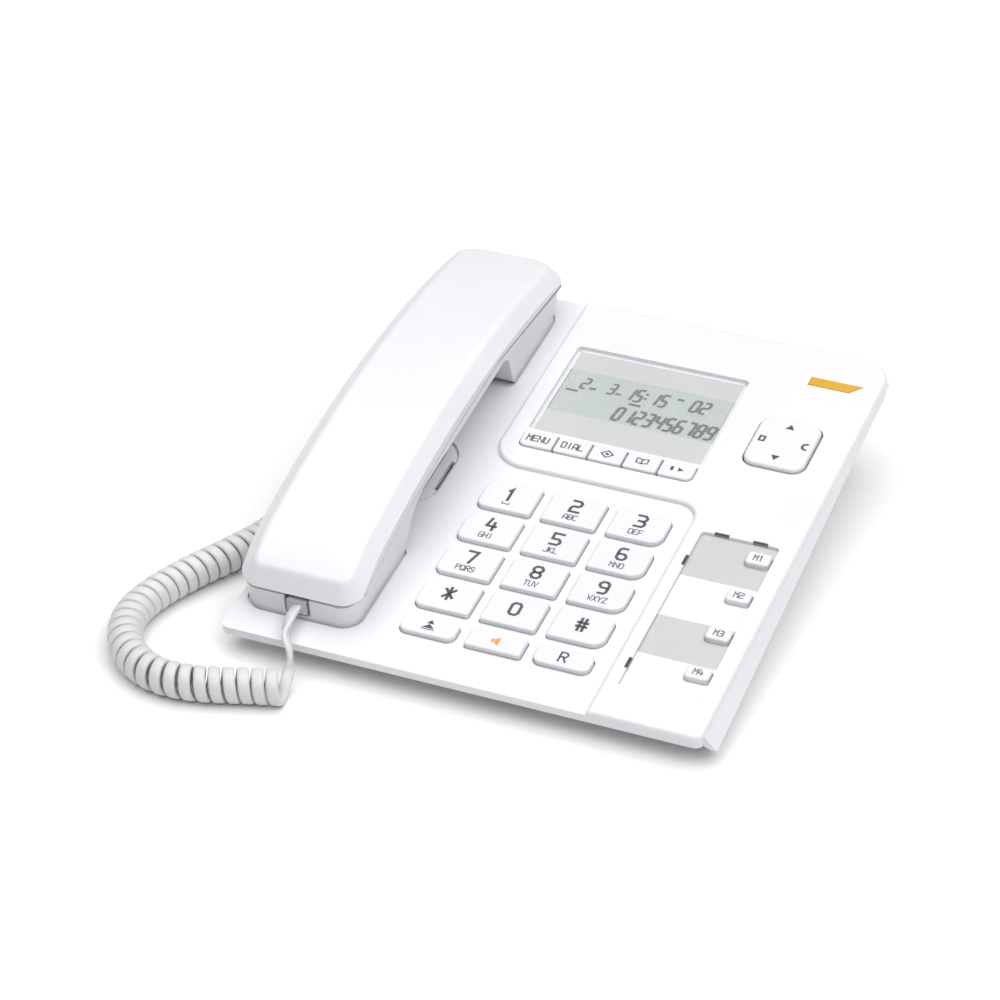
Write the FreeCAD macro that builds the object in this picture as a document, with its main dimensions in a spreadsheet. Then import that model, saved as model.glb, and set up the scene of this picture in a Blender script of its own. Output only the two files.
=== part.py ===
import FreeCAD, Part
import Sketcher
import math
import os
import re

# Driving sizes in millimetres and degrees. Deck sizes are measured on the sloping deck: x from its
# middle, v from its front edge towards the back, and heights square to it. Places and lengths along
# x and v follow the deck's width and depth, so that the layout keeps together.
SIZES = {
    # base housing
    "deck_width": 180, "deck_depth": 215, "deck_tilt": 8, "front_height": 11,
    "width_ratio": "=deck_width / 180", "depth_ratio": "=deck_depth / 215",
    "lip_thickness": 3.2, "top_wall": 2.4, "side_wall": 2.2, "floor_wall": 2.0,
    "corner_small": 3, "corner_large": 12, "rim_bottom": 9,
    "rim_left": 12, "rim_right": 1.4, "rim_front": 10, "rim_back": 9, "rim_slope": 8.6,
    "side_lean": 33,
    "bevel_reach": 4.6, "bevel_drop": 5.3, "bevel_top": 0.3,
    # raised console
    "console_step": 2, "console_left": "=-35 * width_ratio", "console_front": "=114 * depth_ratio",
    "console_corner": 13,
    "strip_left": "=48.4 * width_ratio", "strip_corner": 8, "console_edge": 1.5,
    # number keys
    "key_left": "=-29.3 * width_ratio", "key_front": "=31.6 * depth_ratio",
    "key_width": "=20.9 * width_ratio", "key_length": "=15.4 * depth_ratio",
    "column_pitch": "=25.2 * width_ratio", "row_pitch": "=19 * depth_ratio",
    "short_key_front": "=17.8 * depth_ratio", "short_key_length": "=9.3 * depth_ratio",
    "key_small_radius": 1, "key_round_radius": 3.2, "key_broad_radius": 5,
    "key_rise": 2, "key_edge": 0.7, "key_clearance": 0.35, "key_travel": 1.2,
    "key_flange": 1, "key_flange_gap": 0.3, "dome_gap": 0.2,
    "key_flange_thickness": "=rim_bottom - board_thickness - mat_thickness - dome_height - top_wall"
                            " - key_flange_gap - key_travel - dome_gap",
    # soft keys along the display
    "soft_left": "=-27.3 * width_ratio", "soft_front": "=124.6 * depth_ratio",
    "soft_pitch": "=13.7 * width_ratio", "soft_gap": 0.7, "soft_length": "=8.6 * depth_ratio",
    "soft_radius": 2.6, "soft_rise": 1.1,
    # memory keys, label card and clear strip
    "memory_left": "=54 * width_ratio", "memory_right": "=83.4 * width_ratio",
    "memory_front": "=15.4 * depth_ratio", "memory_back": "=100.6 * depth_ratio",
    "memory_depth": 1.6, "card_thickness": 0.4, "memory_window_thickness": 0.9, "memory_corner": 1.5,
    "memory_key_left": "=73.9 * width_ratio", "memory_key_front": "=26.4 * depth_ratio",
    "memory_key_width": "=8.9 * width_ratio",
    "memory_key_length": "=6.4 * depth_ratio", "memory_key_pitch": "=20.8 * depth_ratio",
    "memory_key_radius": 1.6,
    "clip_slot_length": 5.6, "clip_slot_width": 1.1, "clip_inset": 4.6,
    # four-way pad
    "nav_middle": "=65.7 * width_ratio", "nav_line": "=155.1 * depth_ratio",
    "nav_width": "=23.4 * width_ratio", "nav_length": "=28 * depth_ratio", "nav_corner": 5,
    "nav_rise": 1.8, "nav_clearance": 0.65, "nav_edge": 1.2, "nav_flange": 1.2, "nav_flange_gap": 1.45,
    "nav_flange_thickness": 1.4, "hub_diameter": 8, "hub_gap": 0.3,
    # display
    "display_left": "=-27.6 * width_ratio", "display_right": "=41.6 * width_ratio",
    "display_front": "=135.2 * depth_ratio", "display_back": "=187.7 * depth_ratio",
    "display_corner": 2, "window_thickness": 1.2, "window_sink": 0.3, "window_ledge": 1.6,
    "window_gap": 0.15, "lcd_thickness": 4.4, "lcd_gap": 0.2, "lcd_side": 0.3, "frame_border": 3.6,
    "frame_thickness": 4.4,
    # amber light bar
    "light_left": "=62.7 * width_ratio", "light_front": "=192.7 * depth_ratio",
    "light_length": "=16 * width_ratio", "light_tip": 4.2, "light_width": "=4.7 * depth_ratio",
    "light_rise": 0.2, "light_gap": 0.15, "led_length": 5, "led_width": 3, "led_height": 2,
    # loudspeaker and its slots
    "speaker_middle": "=-60.4 * width_ratio", "speaker_line": "=102 * depth_ratio",
    "speaker_diameter": 27, "speaker_height": 8,
    "grille_width": "=29.4 * width_ratio", "grille_length": "=42 * depth_ratio", "grille_corner": 14,
    "grille_depth": 0.6,
    "groove_width": 0.8, "groove_depth": 1.2,
    "slot_pitch": "=5.2 * width_ratio", "slot_width": 1.6, "slot_circle": "=31.2 * width_ratio",
    "slot_count": 6,
    # boards and what stands on them
    "board_thickness": 1.6, "board_left": "=-32 * width_ratio", "board_right": "=86 * width_ratio",
    "board_front": "=15.6 * depth_ratio",
    "board_back": "=203 * depth_ratio", "mat_thickness": 1, "mat_back": "=135 * depth_ratio",
    "mat_left": "=-31 * width_ratio", "dome_height": 0.4,
    "dome_diameter": 6, "mic_diameter": 9.7, "mic_height": 5, "base_mic_line": "=30 * depth_ratio",
    "line_board_left": "=-74 * width_ratio", "line_board_right": "=-37 * width_ratio",
    "line_board_front": "=157 * depth_ratio",
    "line_board_top": "=(front_height - foot_height - floor_wall) / cos(deck_tilt * 1deg)"
                      " + line_board_front * tan(deck_tilt * 1deg) - board_thickness - 0.5",
    "jack_width": 16, "jack_depth": 16, "jack_height": 12.4,
    "jack_mouth_width": 12, "jack_mouth_height": 8.6, "jack_mouth_depth": 12,
    "jack_middle": "=-54 * width_ratio",
    "fit_gap": 0.2,
    # hook switch
    "hook_line": "=deck_depth - rim_back - jack_depth - switch_length / 2 - 1.5", "plunger_width": 8,
    "plunger_length": "=14 * depth_ratio", "plunger_sink": 0.3,
    "plunger_gap": 0.35, "plunger_travel": 4, "plunger_flange": 1.2, "hook_flange_thickness": 1,
    "plunger_stem": 4, "switch_width": 8, "switch_length": "=13 * depth_ratio", "switch_height": 9,
    # screws, feet and weight
    "post_diameter": 7, "boss_diameter": 9, "pilot_diameter": 3, "screw_diameter": 2.9,
    "hole_diameter": 3.5, "head_diameter": 6, "head_room": 7.4, "head_height": 2, "screw_seat": 2.5,
    "screw_reach": 4.6, "post_left": "=-66 * width_ratio", "post_front": "=45 * depth_ratio",
    "post_back": "=146 * depth_ratio", "post_right": "=48.2 * width_ratio",
    "post_right_front": "=62 * depth_ratio", "post_right_back": "=184 * depth_ratio", "foot_diameter": 10,
    "foot_height": 2.5,
    "foot_inset": 14, "weight_length": "=70 * width_ratio", "weight_width": "=60 * depth_ratio",
    "weight_thickness": 4,
    "weight_left": "=-30 * width_ratio", "weight_front": "=118 * depth_ratio",
    # handset
    "handset_middle": "=-65.3 * width_ratio", "handset_width": "=47.4 * width_ratio",
    "handset_front": "=12.5 * depth_ratio", "handset_back": "=216 * depth_ratio",
    "block_width": "=43.2 * width_ratio", "block_gap": 0.6, "handset_corner": 8, "block_corner": 7,
    "tail_corner": 13, "tail_block_corner": 12,
    "handset_bevel": 5.5, "bevel_round": 4,
    "crown_radius": 431, "nose_back": "=36 * depth_ratio", "nose_height": 24.5, "nose_bottom": 14,
    "tail_height": 19.6, "shell_cavity": "=34 * width_ratio", "shell_wall": 2,
    "seam_front": 8, "seam_mouth": 13.4, "seam_mouth_line": "=24 * depth_ratio", "seam_neck": 19.4,
    "seam_neck_line": "=62 * depth_ratio", "seam_grip": 22.4, "seam_grip_front": "=97 * depth_ratio",
    "seam_grip_back": "=144 * depth_ratio",
    "seam_tail": 13, "block_inset": 0.8, "block_lean": 6.2, "mouth_back": "=56 * depth_ratio",
    "ear_front": "=160.5 * depth_ratio", "ear_slope": 70, "ear_foot": 5, "grip_bottom": 17.6,
    "grip_front": "=76 * depth_ratio", "mouth_bend": 16, "ear_bend": 7,
    "cradle_depth": 1.2, "cradle_gap": 0.4, "cradle_room": 1,
    "receiver_line": "=187 * depth_ratio", "receiver_diameter": 26, "receiver_height": 8,
    "sound_hole": 1.8,
    "sound_circle": 10, "handset_mic_line": "=37 * depth_ratio", "handset_mic_height": 5,
    "handset_weight_length": "=50 * depth_ratio",
    "handset_weight_width": 22, "handset_weight_thickness": 5, "handset_screw_front": "=48 * depth_ratio",
    "handset_screw_back": "=169.5 * depth_ratio", "handset_screw_top": 12, "handset_screw_length": 18,
    "handset_post_top": 24.5,
    # modular plugs of the handset cord
    "plug_width": 7.7, "plug_height": 5.8, "plug_length": 15, "plug_out": 5, "socket_wall": 0.8,
    "socket_depth": 11.5, "plug_sink": 2.4, "handset_plug_middle": "=-65.5 * width_ratio",
    "handset_plug_height": 5,
    "base_plug_line": "=84 * depth_ratio", "socket_floor_gap": 0.615794,
    "base_plug_height": "=(front_height - foot_height - floor_wall) / cos(deck_tilt * 1deg)"
                        " + (base_plug_line - plug_width / 2 - socket_wall) * tan(deck_tilt * 1deg)"
                        " - plug_height / 2 - socket_wall - socket_floor_gap",
    # curly cord
    "cord_diameter": 3, "coil_diameter": 13,
}
COIL_TURNS = 34.625
# Middle line of the curls on the table: x from the deck's middle and y from its front edge.
COIL_ROUTE = [(-56.5, -20), (-66, -22.7), (-78, -27.2), (-90.5, -30.4), (-104.6, -29), (-118, -19),
              (-125.3, -4), (-124.6, 12), (-118, 31), (-109.6, 48), (-103.6, 62),
              (-100.9, 73.4), (-100.4, 83.6)]
# Free points of the lead from the handset to the curls: x, y as above and z from the table.
HANDSET_LEAD = [(-64, -1.5, 15.2), (-59.2, -6.7, 12.9)]

doc = FreeCAD.newDocument("desk_phone")
sheet = doc.addObject("Spreadsheet::Sheet", "Sheet")
for row, (name, number) in enumerate(SIZES.items(), start=1):
    sheet.set(f"A{row}", name)
    sheet.set(f"B{row}", str(number))
    sheet.setAlias(f"B{row}", name)
doc.recompute()

NODES = {}


def cell(formula):
    # A formula in size names becomes one that refers to the sheet's cells.
    return re.sub(r"[a-z][a-z_]+", lambda hit: f"Sheet.{hit[0]}" if hit[0] in SIZES else hit[0], formula)


def size(formula):
    return float(sheet.evalExpression(formula))


def vector(x, y, z):
    return FreeCAD.Vector(size(x), size(y), size(z))


# The deck's frame in the part's frame: the origin is under the middle of the whole base.
TILT = size("deck_tilt")
BASE_MIDDLE = size("bevel_reach / 2")
FRONT_EDGE = -size("deck_depth * cos(deck_tilt * 1deg) + lip_thickness * sin(deck_tilt * 1deg)") / 2
DECK = FreeCAD.Placement(
    FreeCAD.Vector(-BASE_MIDDLE, FRONT_EDGE, size("front_height")),
    FreeCAD.Rotation(FreeCAD.Vector(1, 0, 0), TILT))
# Height of the level floor's outer face, seen in the deck's frame, along v.
FLOOR = "((foot_height - front_height) / cos(deck_tilt * 1deg) - ({v}) * tan(deck_tilt * 1deg))"
INNER_FLOOR = "(" + FLOOR + " + floor_wall / cos(deck_tilt * 1deg))"


def on_deck(x="0", v="0", height="0"):
    return DECK.multiply(FreeCAD.Placement(vector(x, v, height), FreeCAD.Rotation()))


def keep(piece, label, place):
    piece.Label = label
    piece.Placement = place
    NODES[label] = piece
    return piece


def new_body(label, place):
    return keep(doc.addObject("PartDesign::Body", label), label, place)


def ring(points):
    # Corners in order; a third entry makes the edge to the next corner an arc, cw when it starts with -.
    return [corner if len(corner) == 3 else (*corner, None) for corner in points]


def rectangle(left, front, right, back):
    return ring([(left, front), (right, front), (right, back), (left, back)])


def rounded(left, front, right, back, radii):
    # Radii of the front left, front right, back right and back left corners.
    a, b, c, d = radii if isinstance(radii, tuple) else (radii,) * 4
    return ring([
        (f"{left} + {a}", front), (f"{right} - ({b})", front, b),
        (right, f"{front} + {b}"), (right, f"{back} - ({c})", c),
        (f"{right} - ({c})", back), (f"{left} + {d}", back, d),
        (left, f"{back} - ({d})"), (left, f"{front} + {a}", a)])


def draw(sketch, corners):
    # Lines and arcs through the corners, with every coordinate and radius bound to the sheet.
    first = sketch.GeometryCount
    count = len(corners)
    places = [vector(x, y, "0") for x, y, bend in corners]
    ends = []
    for number, (x, y, bend) in enumerate(corners):
        here, there = places[number], places[(number + 1) % count]
        if bend is None:
            sketch.addGeometry(Part.LineSegment(here, there))
            ends.append((1, 2))
            continue
        clockwise = bend.startswith("-")
        radius = size(bend.lstrip("-"))
        chord = there - here
        left = FreeCAD.Vector(-chord.y, chord.x, 0).normalize()
        rise = math.sqrt(max(radius ** 2 - chord.Length ** 2 / 4, 0))
        centre = (here + there) * 0.5 + left * (-rise if clockwise else rise)
        start, stop = (there, here) if clockwise else (here, there)
        angles = [math.atan2(end.y - centre.y, end.x - centre.x) for end in (start, stop)]
        circle = Part.Circle(centre, FreeCAD.Vector(0, 0, 1), radius)
        sketch.addGeometry(Part.ArcOfCircle(circle, angles[0], angles[1]))
        ends.append((2, 1) if clockwise else (1, 2))
    for number, (x, y, bend) in enumerate(corners):
        edge, next_edge = first + number, first + (number + 1) % count
        sketch.addConstraint(Sketcher.Constraint(
            "Coincident", edge, ends[number][1], next_edge, ends[(number + 1) % count][0]))
    for number, (x, y, bend) in enumerate(corners):
        edge, end = first + number, ends[number][0]
        spot = places[number]
        for kind, formula, now in (("DistanceX", x, spot.x), ("DistanceY", y, spot.y)):
            bound = sketch.addConstraint(Sketcher.Constraint(kind, -1, 1, edge, end, now))
            sketch.setExpression(f"Constraints[{bound}]", cell(formula))
        if bend is not None:
            formula = bend.lstrip("-")
            bound = sketch.addConstraint(Sketcher.Constraint("Radius", edge, size(formula)))
            sketch.setExpression(f"Constraints[{bound}]", cell(formula))


def draw_circle(sketch, x, y, diameter):
    number = sketch.addGeometry(Part.Circle(vector(x, y, "0"), FreeCAD.Vector(0, 0, 1), size(diameter) / 2))
    for kind, formula in (("DistanceX", x), ("DistanceY", y)):
        bound = sketch.addConstraint(Sketcher.Constraint(kind, -1, 1, number, 3, size(formula)))
        sketch.setExpression(f"Constraints[{bound}]", cell(formula))
    bound = sketch.addConstraint(Sketcher.Constraint("Diameter", number, size(diameter)))
    sketch.setExpression(f"Constraints[{bound}]", cell(diameter))


def sketch_on(body, loops=(), height="0", plane="XY_Plane", circles=()):
    sketch = body.newObject("Sketcher::SketchObject", "outline")
    support = next(item for item in body.Origin.OriginFeatures if item.Role == plane)
    sketch.AttachmentSupport = [(support, "")]
    sketch.MapMode = "FlatFace"
    sketch.setExpression("AttachmentOffset.Base.z", cell(height))
    for corners in loops:
        draw(sketch, corners)
    for x, y, diameter in circles:
        draw_circle(sketch, x, y, diameter)
    return sketch


def pad(body, sketch, length, reverse=False):
    feature = body.newObject("PartDesign::Pad", "pad")
    feature.Profile = sketch
    feature.setExpression("Length", cell(length))
    feature.Reversed = reverse
    return feature


def pocket(body, sketch, length, reverse=False):
    # Cuts against the sketch's normal, or along it when reversed.
    feature = body.newObject("PartDesign::Pocket", "pocket")
    feature.Profile = sketch
    feature.setExpression("Length", cell(length))
    feature.Reversed = reverse
    before = body.Shape.Volume if not body.Shape.isNull() else 0
    doc.recompute()
    if body.Shape.Volume > before - 1e-6:
        raise RuntimeError(f"{body.Label}: a pocket cut nothing")
    return feature


def along(body, feature, sketch, axis, pitch, count):
    pattern = body.newObject("PartDesign::LinearPattern", "pattern")
    pattern.Originals = [feature]
    pattern.Direction = (sketch, [axis])
    pattern.Mode = "Spacing"
    pattern.setExpression("Offset", cell(pitch))
    pattern.Occurrences = count
    body.Tip = pattern
    doc.recompute()
    return pattern


def fillet(body, radius, wanted):
    doc.recompute()
    feature = body.Tip
    names = [f"Edge{number}" for number, edge in enumerate(feature.Shape.Edges, start=1) if wanted(edge)]
    rounding = body.newObject("PartDesign::Fillet", "rounding")
    rounding.Base = (feature, names)
    rounding.setExpression("Radius", cell(radius))
    doc.recompute()
    return rounding


def chamfer(body, width, wanted):
    doc.recompute()
    feature = body.Tip
    names = [f"Edge{number}" for number, edge in enumerate(feature.Shape.Edges, start=1) if wanted(edge)]
    bevel = body.newObject("PartDesign::Chamfer", "bevel")
    bevel.Base = (feature, names)
    bevel.setExpression("Size", cell(width))
    doc.recompute()
    return bevel


def level(height):
    # Picks the edges that lie wholly at one height.
    at = size(height)
    return lambda edge: all(abs(point.z - at) < 1e-6 for point in edge.discretize(4))


def box(label, left, front, bottom, length, width, height, place=None):
    solid = doc.addObject("Part::Box", label)
    for prop, formula in (("Length", length), ("Width", width), ("Height", height)):
        solid.setExpression(prop, cell(formula))
    return keep(solid, label, place or on_deck(left, front, bottom))


def cylinder(label, x, v, bottom, diameter, height):
    solid = doc.addObject("Part::Cylinder", label)
    solid.setExpression("Radius", cell(f"({diameter}) / 2"))
    solid.setExpression("Height", cell(height))
    return keep(solid, label, on_deck(x, v, bottom))


def group(label, pieces):
    # Identical pieces that share one node.
    for piece in pieces:
        NODES.pop(piece.Label)
    gathered = doc.addObject("Part::Compound", label)
    gathered.Links = pieces
    return keep(gathered, label, FreeCAD.Placement())


# Key outlines: the outer columns are rounded on their outer side.
COLUMN_CORNERS = [
    ("key_round_radius", "key_small_radius", "key_small_radius", "key_broad_radius"),
    ("key_small_radius",) * 4,
    ("key_small_radius", "key_broad_radius", "key_round_radius", "key_small_radius"),
]
KEY_NAMES = [["key_star", "key_0", "key_hash"], ["key_7", "key_8", "key_9"],
             ["key_4", "key_5", "key_6"], ["key_1", "key_2", "key_3"]]
SHORT_KEY_NAMES = ["key_redial", "key_speaker", "key_recall"]
FLANGE_TOP = "-(top_wall + key_flange_gap)"
FLANGE_BOTTOM = "-(top_wall + key_flange_gap + key_flange_thickness)"
HALF_WIDTH = "deck_width / 2"
POSTS = [("post_left", "post_front"), ("post_left", "post_back"),
         ("post_right", "post_right_front"), ("post_right", "post_right_back")]
BOARD_TOP = "-(rim_bottom - board_thickness)"


def wider(radii, gap):
    return tuple(f"({radius} + {gap})" for radius in radii)


def opening(left, front, width, length, radii, gap):
    return rounded(f"{left} - {gap}", f"{front} - {gap}", f"{left} + {width} + {gap}",
                   f"{front} + {length} + {gap}", wider(radii, gap))


def memory_opening():
    return opening("memory_key_left", "memory_key_front", "memory_key_width", "memory_key_length",
                   ("memory_key_radius",) * 4, "key_clearance")


def make_top_cover():
    body = new_body("top_cover", DECK)
    deck = sketch_on(body, [rounded(f"-{HALF_WIDTH}", "0", HALF_WIDTH, "deck_depth",
                                    ("corner_small", "corner_small", "corner_large", "corner_large"))],
                     "-lip_thickness")
    pad(body, deck, "lip_thickness")
    console = ring([
        ("strip_left", "0"), (f"{HALF_WIDTH} - corner_small", "0", "corner_small"),
        (HALF_WIDTH, "corner_small"), (HALF_WIDTH, "deck_depth - corner_large", "corner_large"),
        (f"{HALF_WIDTH} - corner_large", "deck_depth"), ("console_left", "deck_depth"),
        ("console_left", "console_front + console_corner", "console_corner"),
        ("console_left + console_corner", "console_front"),
        ("strip_left - strip_corner", "console_front", "-strip_corner"),
        ("strip_left", "console_front - strip_corner")])
    pad(body, sketch_on(body, [console]), "console_step")
    fillet(body, "console_edge", level("console_step"))
    # Sloping flange along the right side, widest at the front.
    bevel_start = "console_step - console_edge - bevel_top"
    front = ring([(f"{HALF_WIDTH} - 2", "-lip_thickness"), (f"{HALF_WIDTH} + bevel_reach - 2", "-bevel_drop"),
                  (f"{HALF_WIDTH} + bevel_reach", "-bevel_drop"), (HALF_WIDTH, bevel_start),
                  (f"{HALF_WIDTH} - 2", bevel_start)])
    back = ring([(f"{HALF_WIDTH} - 2", "-lip_thickness"), (f"{HALF_WIDTH} - 1", "-lip_thickness"),
                 (f"{HALF_WIDTH} + bevel_top", "-lip_thickness"), (HALF_WIDTH, bevel_start),
                 (f"{HALF_WIDTH} - 2", bevel_start)])
    flange = body.newObject("PartDesign::AdditiveLoft", "side_bevel")
    flange.Profile = sketch_on(body, [front], "-corner_small", "XZ_Plane")
    flange.Sections = [sketch_on(body, [back], "-(deck_depth - corner_large)", "XZ_Plane")]
    flange.Ruled = True
    # Rim under the deck that slopes in to the bottom cover.
    rim_top = rectangle(f"rim_left - rim_slope - {HALF_WIDTH}", "rim_front - rim_slope / 2",
                        f"{HALF_WIDTH} - rim_right / 2", "deck_depth - rim_back + rim_slope / 2")
    rim_bottom = rectangle(f"rim_left - {HALF_WIDTH}", "rim_front",
                           f"{HALF_WIDTH} - rim_right", "deck_depth - rim_back")
    rim = body.newObject("PartDesign::AdditiveLoft", "rim")
    rim.Profile = sketch_on(body, [rim_top], "-lip_thickness")
    rim.Sections = [sketch_on(body, [rim_bottom], "-rim_bottom")]
    rim.Ruled = True
    doc.recompute()
    cavity = rectangle(f"rim_left + side_wall - {HALF_WIDTH}", "rim_front + side_wall",
                       f"{HALF_WIDTH} - rim_right - side_wall", "deck_depth - rim_back - side_wall")
    pocket(body, sketch_on(body, [cavity], "-rim_bottom"), "rim_bottom - top_wall", reverse=True)
    # Screw posts.
    pad(body, sketch_on(body, [], "-top_wall", circles=[(x, v, "post_diameter") for x, v in POSTS]),
        "rim_bottom - top_wall", reverse=True)
    doc.recompute()
    pocket(body, sketch_on(body, [], "-rim_bottom", circles=[(x, v, "pilot_diameter") for x, v in POSTS]),
           "rim_bottom - top_wall - 1", reverse=True)
    make_key_openings(body)
    make_console_openings(body)
    make_cradle(body)


def make_key_openings(body):
    through = "console_step + key_rise + top_wall + 1"
    start = "console_step + key_rise"
    for column, radii in enumerate(COLUMN_CORNERS):
        left = f"(key_left + {column} * column_pitch)"
        outline = opening(left, "key_front", "key_width", "key_length", radii, "key_clearance")
        sketch = sketch_on(body, [outline], start)
        along(body, pocket(body, sketch, through), sketch, "V_Axis", "row_pitch", len(KEY_NAMES))
    shorts = [opening(f"(key_left + {column} * column_pitch)", "short_key_front", "key_width",
                      "short_key_length", ("key_round_radius",) * 4 if column != 1 else radii,
                      "key_clearance")
              for column, radii in enumerate(COLUMN_CORNERS)]
    pocket(body, sketch_on(body, shorts, start), through)
    soft = opening("soft_left", "soft_front", "(5 * soft_pitch - soft_gap)", "soft_length",
                   ("soft_radius", "soft_radius", "key_small_radius", "key_small_radius"), "key_clearance")
    nav = opening("(nav_middle - nav_width / 2)", "(nav_line - nav_length / 2)", "nav_width", "nav_length",
                  ("nav_corner",) * 4, "nav_clearance")
    pocket(body, sketch_on(body, [soft, nav], start), through)
    sketch = sketch_on(body, [memory_opening()], start)
    along(body, pocket(body, sketch, through), sketch, "V_Axis", "memory_key_pitch", 4)


def make_console_openings(body):
    window = rounded("display_left", "display_front", "display_right", "display_back", "display_corner")
    pocket(body, sketch_on(body, [window], "console_step"), "window_thickness + window_sink")
    view = rectangle("display_left + window_ledge", "display_front + window_ledge",
                     "display_right - window_ledge", "display_back - window_ledge")
    pocket(body, sketch_on(body, [view], "console_step"), "console_step + top_wall + 1")
    strip = rounded("memory_left", "memory_front", "memory_right", "memory_back", "memory_corner")
    pocket(body, sketch_on(body, [strip], "console_step"), "memory_depth")
    # Slots for the clips of the clear strip, two on the back edge and two on the left edge.
    clips = []
    for left in ("memory_left + clip_inset", "memory_right - clip_inset - clip_slot_length"):
        clips.append(rectangle(left, "memory_back - 0.2", f"{left} + clip_slot_length",
                               "memory_back + clip_slot_width"))
    for front in ("memory_front + 2 * clip_inset", "memory_back - 3 * clip_inset - clip_slot_length"):
        clips.append(rectangle("memory_left - clip_slot_width", front, "memory_left + 0.2",
                               f"{front} + clip_slot_length"))
    pocket(body, sketch_on(body, clips, "console_step"), "memory_depth")
    light = sketch_on(body, [light_outline("light_gap")], "console_step + 1")
    pocket(body, light, "console_step + top_wall + 2")


def light_outline(gap):
    return ring([(f"light_left - {gap}", f"light_front - {gap}"),
                 (f"light_left + light_length + {gap}", f"light_front - {gap}"),
                 (f"light_left + light_length + light_tip + 2 * {gap}", f"light_front + light_width + {gap}"),
                 (f"light_left - {gap}", f"light_front + light_width + {gap}")])


def make_cradle(body):
    grille, inside = [
        rounded(f"speaker_middle - grille_width / 2 + {inset}", f"speaker_line - grille_length / 2 + {inset}",
                f"speaker_middle + grille_width / 2 - {inset}", f"speaker_line + grille_length / 2 - {inset}",
                f"(grille_corner - {inset})")
        for inset in ("0", "groove_width")]
    pocket(body, sketch_on(body, [grille]), "grille_depth")
    pocket(body, sketch_on(body, [grille, inside]), "groove_depth")
    # The slots end on a circle, so the outer ones are shorter.
    slots = []
    for number in range(SIZES["slot_count"]):
        aside = f"(slot_pitch * ({number} - (slot_count - 1) / 2))"
        reach = f"sqrt((slot_circle / 2) ^ 2 - {aside} ^ 2)"
        slots.append(rounded(f"speaker_middle + {aside} - slot_width / 2", f"speaker_line - {reach}",
                             f"speaker_middle + {aside} + slot_width / 2", f"speaker_line + {reach}",
                             "(slot_width * 0.45)"))
    pocket(body, sketch_on(body, slots), "top_wall + 1")
    half = "(block_width / 2 + cradle_room)"
    # The wells are rounded at the handset's ends and run past the sloping faces of its blocks.
    end, tail = "(block_corner + cradle_room)", "(tail_block_corner + cradle_room)"
    inner = "corner_small"
    left, right = f"handset_middle - {half}", f"handset_middle + {half}"
    wells = [rounded(left, "(handset_front + block_inset - cradle_room)", right, "(mouth_back + corner_small)",
                     (end, end, inner, inner)),
             rounded(left, "(ear_front - corner_small)", right, "(handset_back - block_lean + cradle_room)",
                     (inner, inner, tail, tail))]
    pocket(body, sketch_on(body, wells), "cradle_depth")
    hook = opening("(handset_middle - plunger_width / 2)", "(hook_line - plunger_length / 2)", "plunger_width",
                   "plunger_length", ("key_round_radius",) * 4, "plunger_gap")
    pocket(body, sketch_on(body, [hook]), "top_wall + 1")


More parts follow.
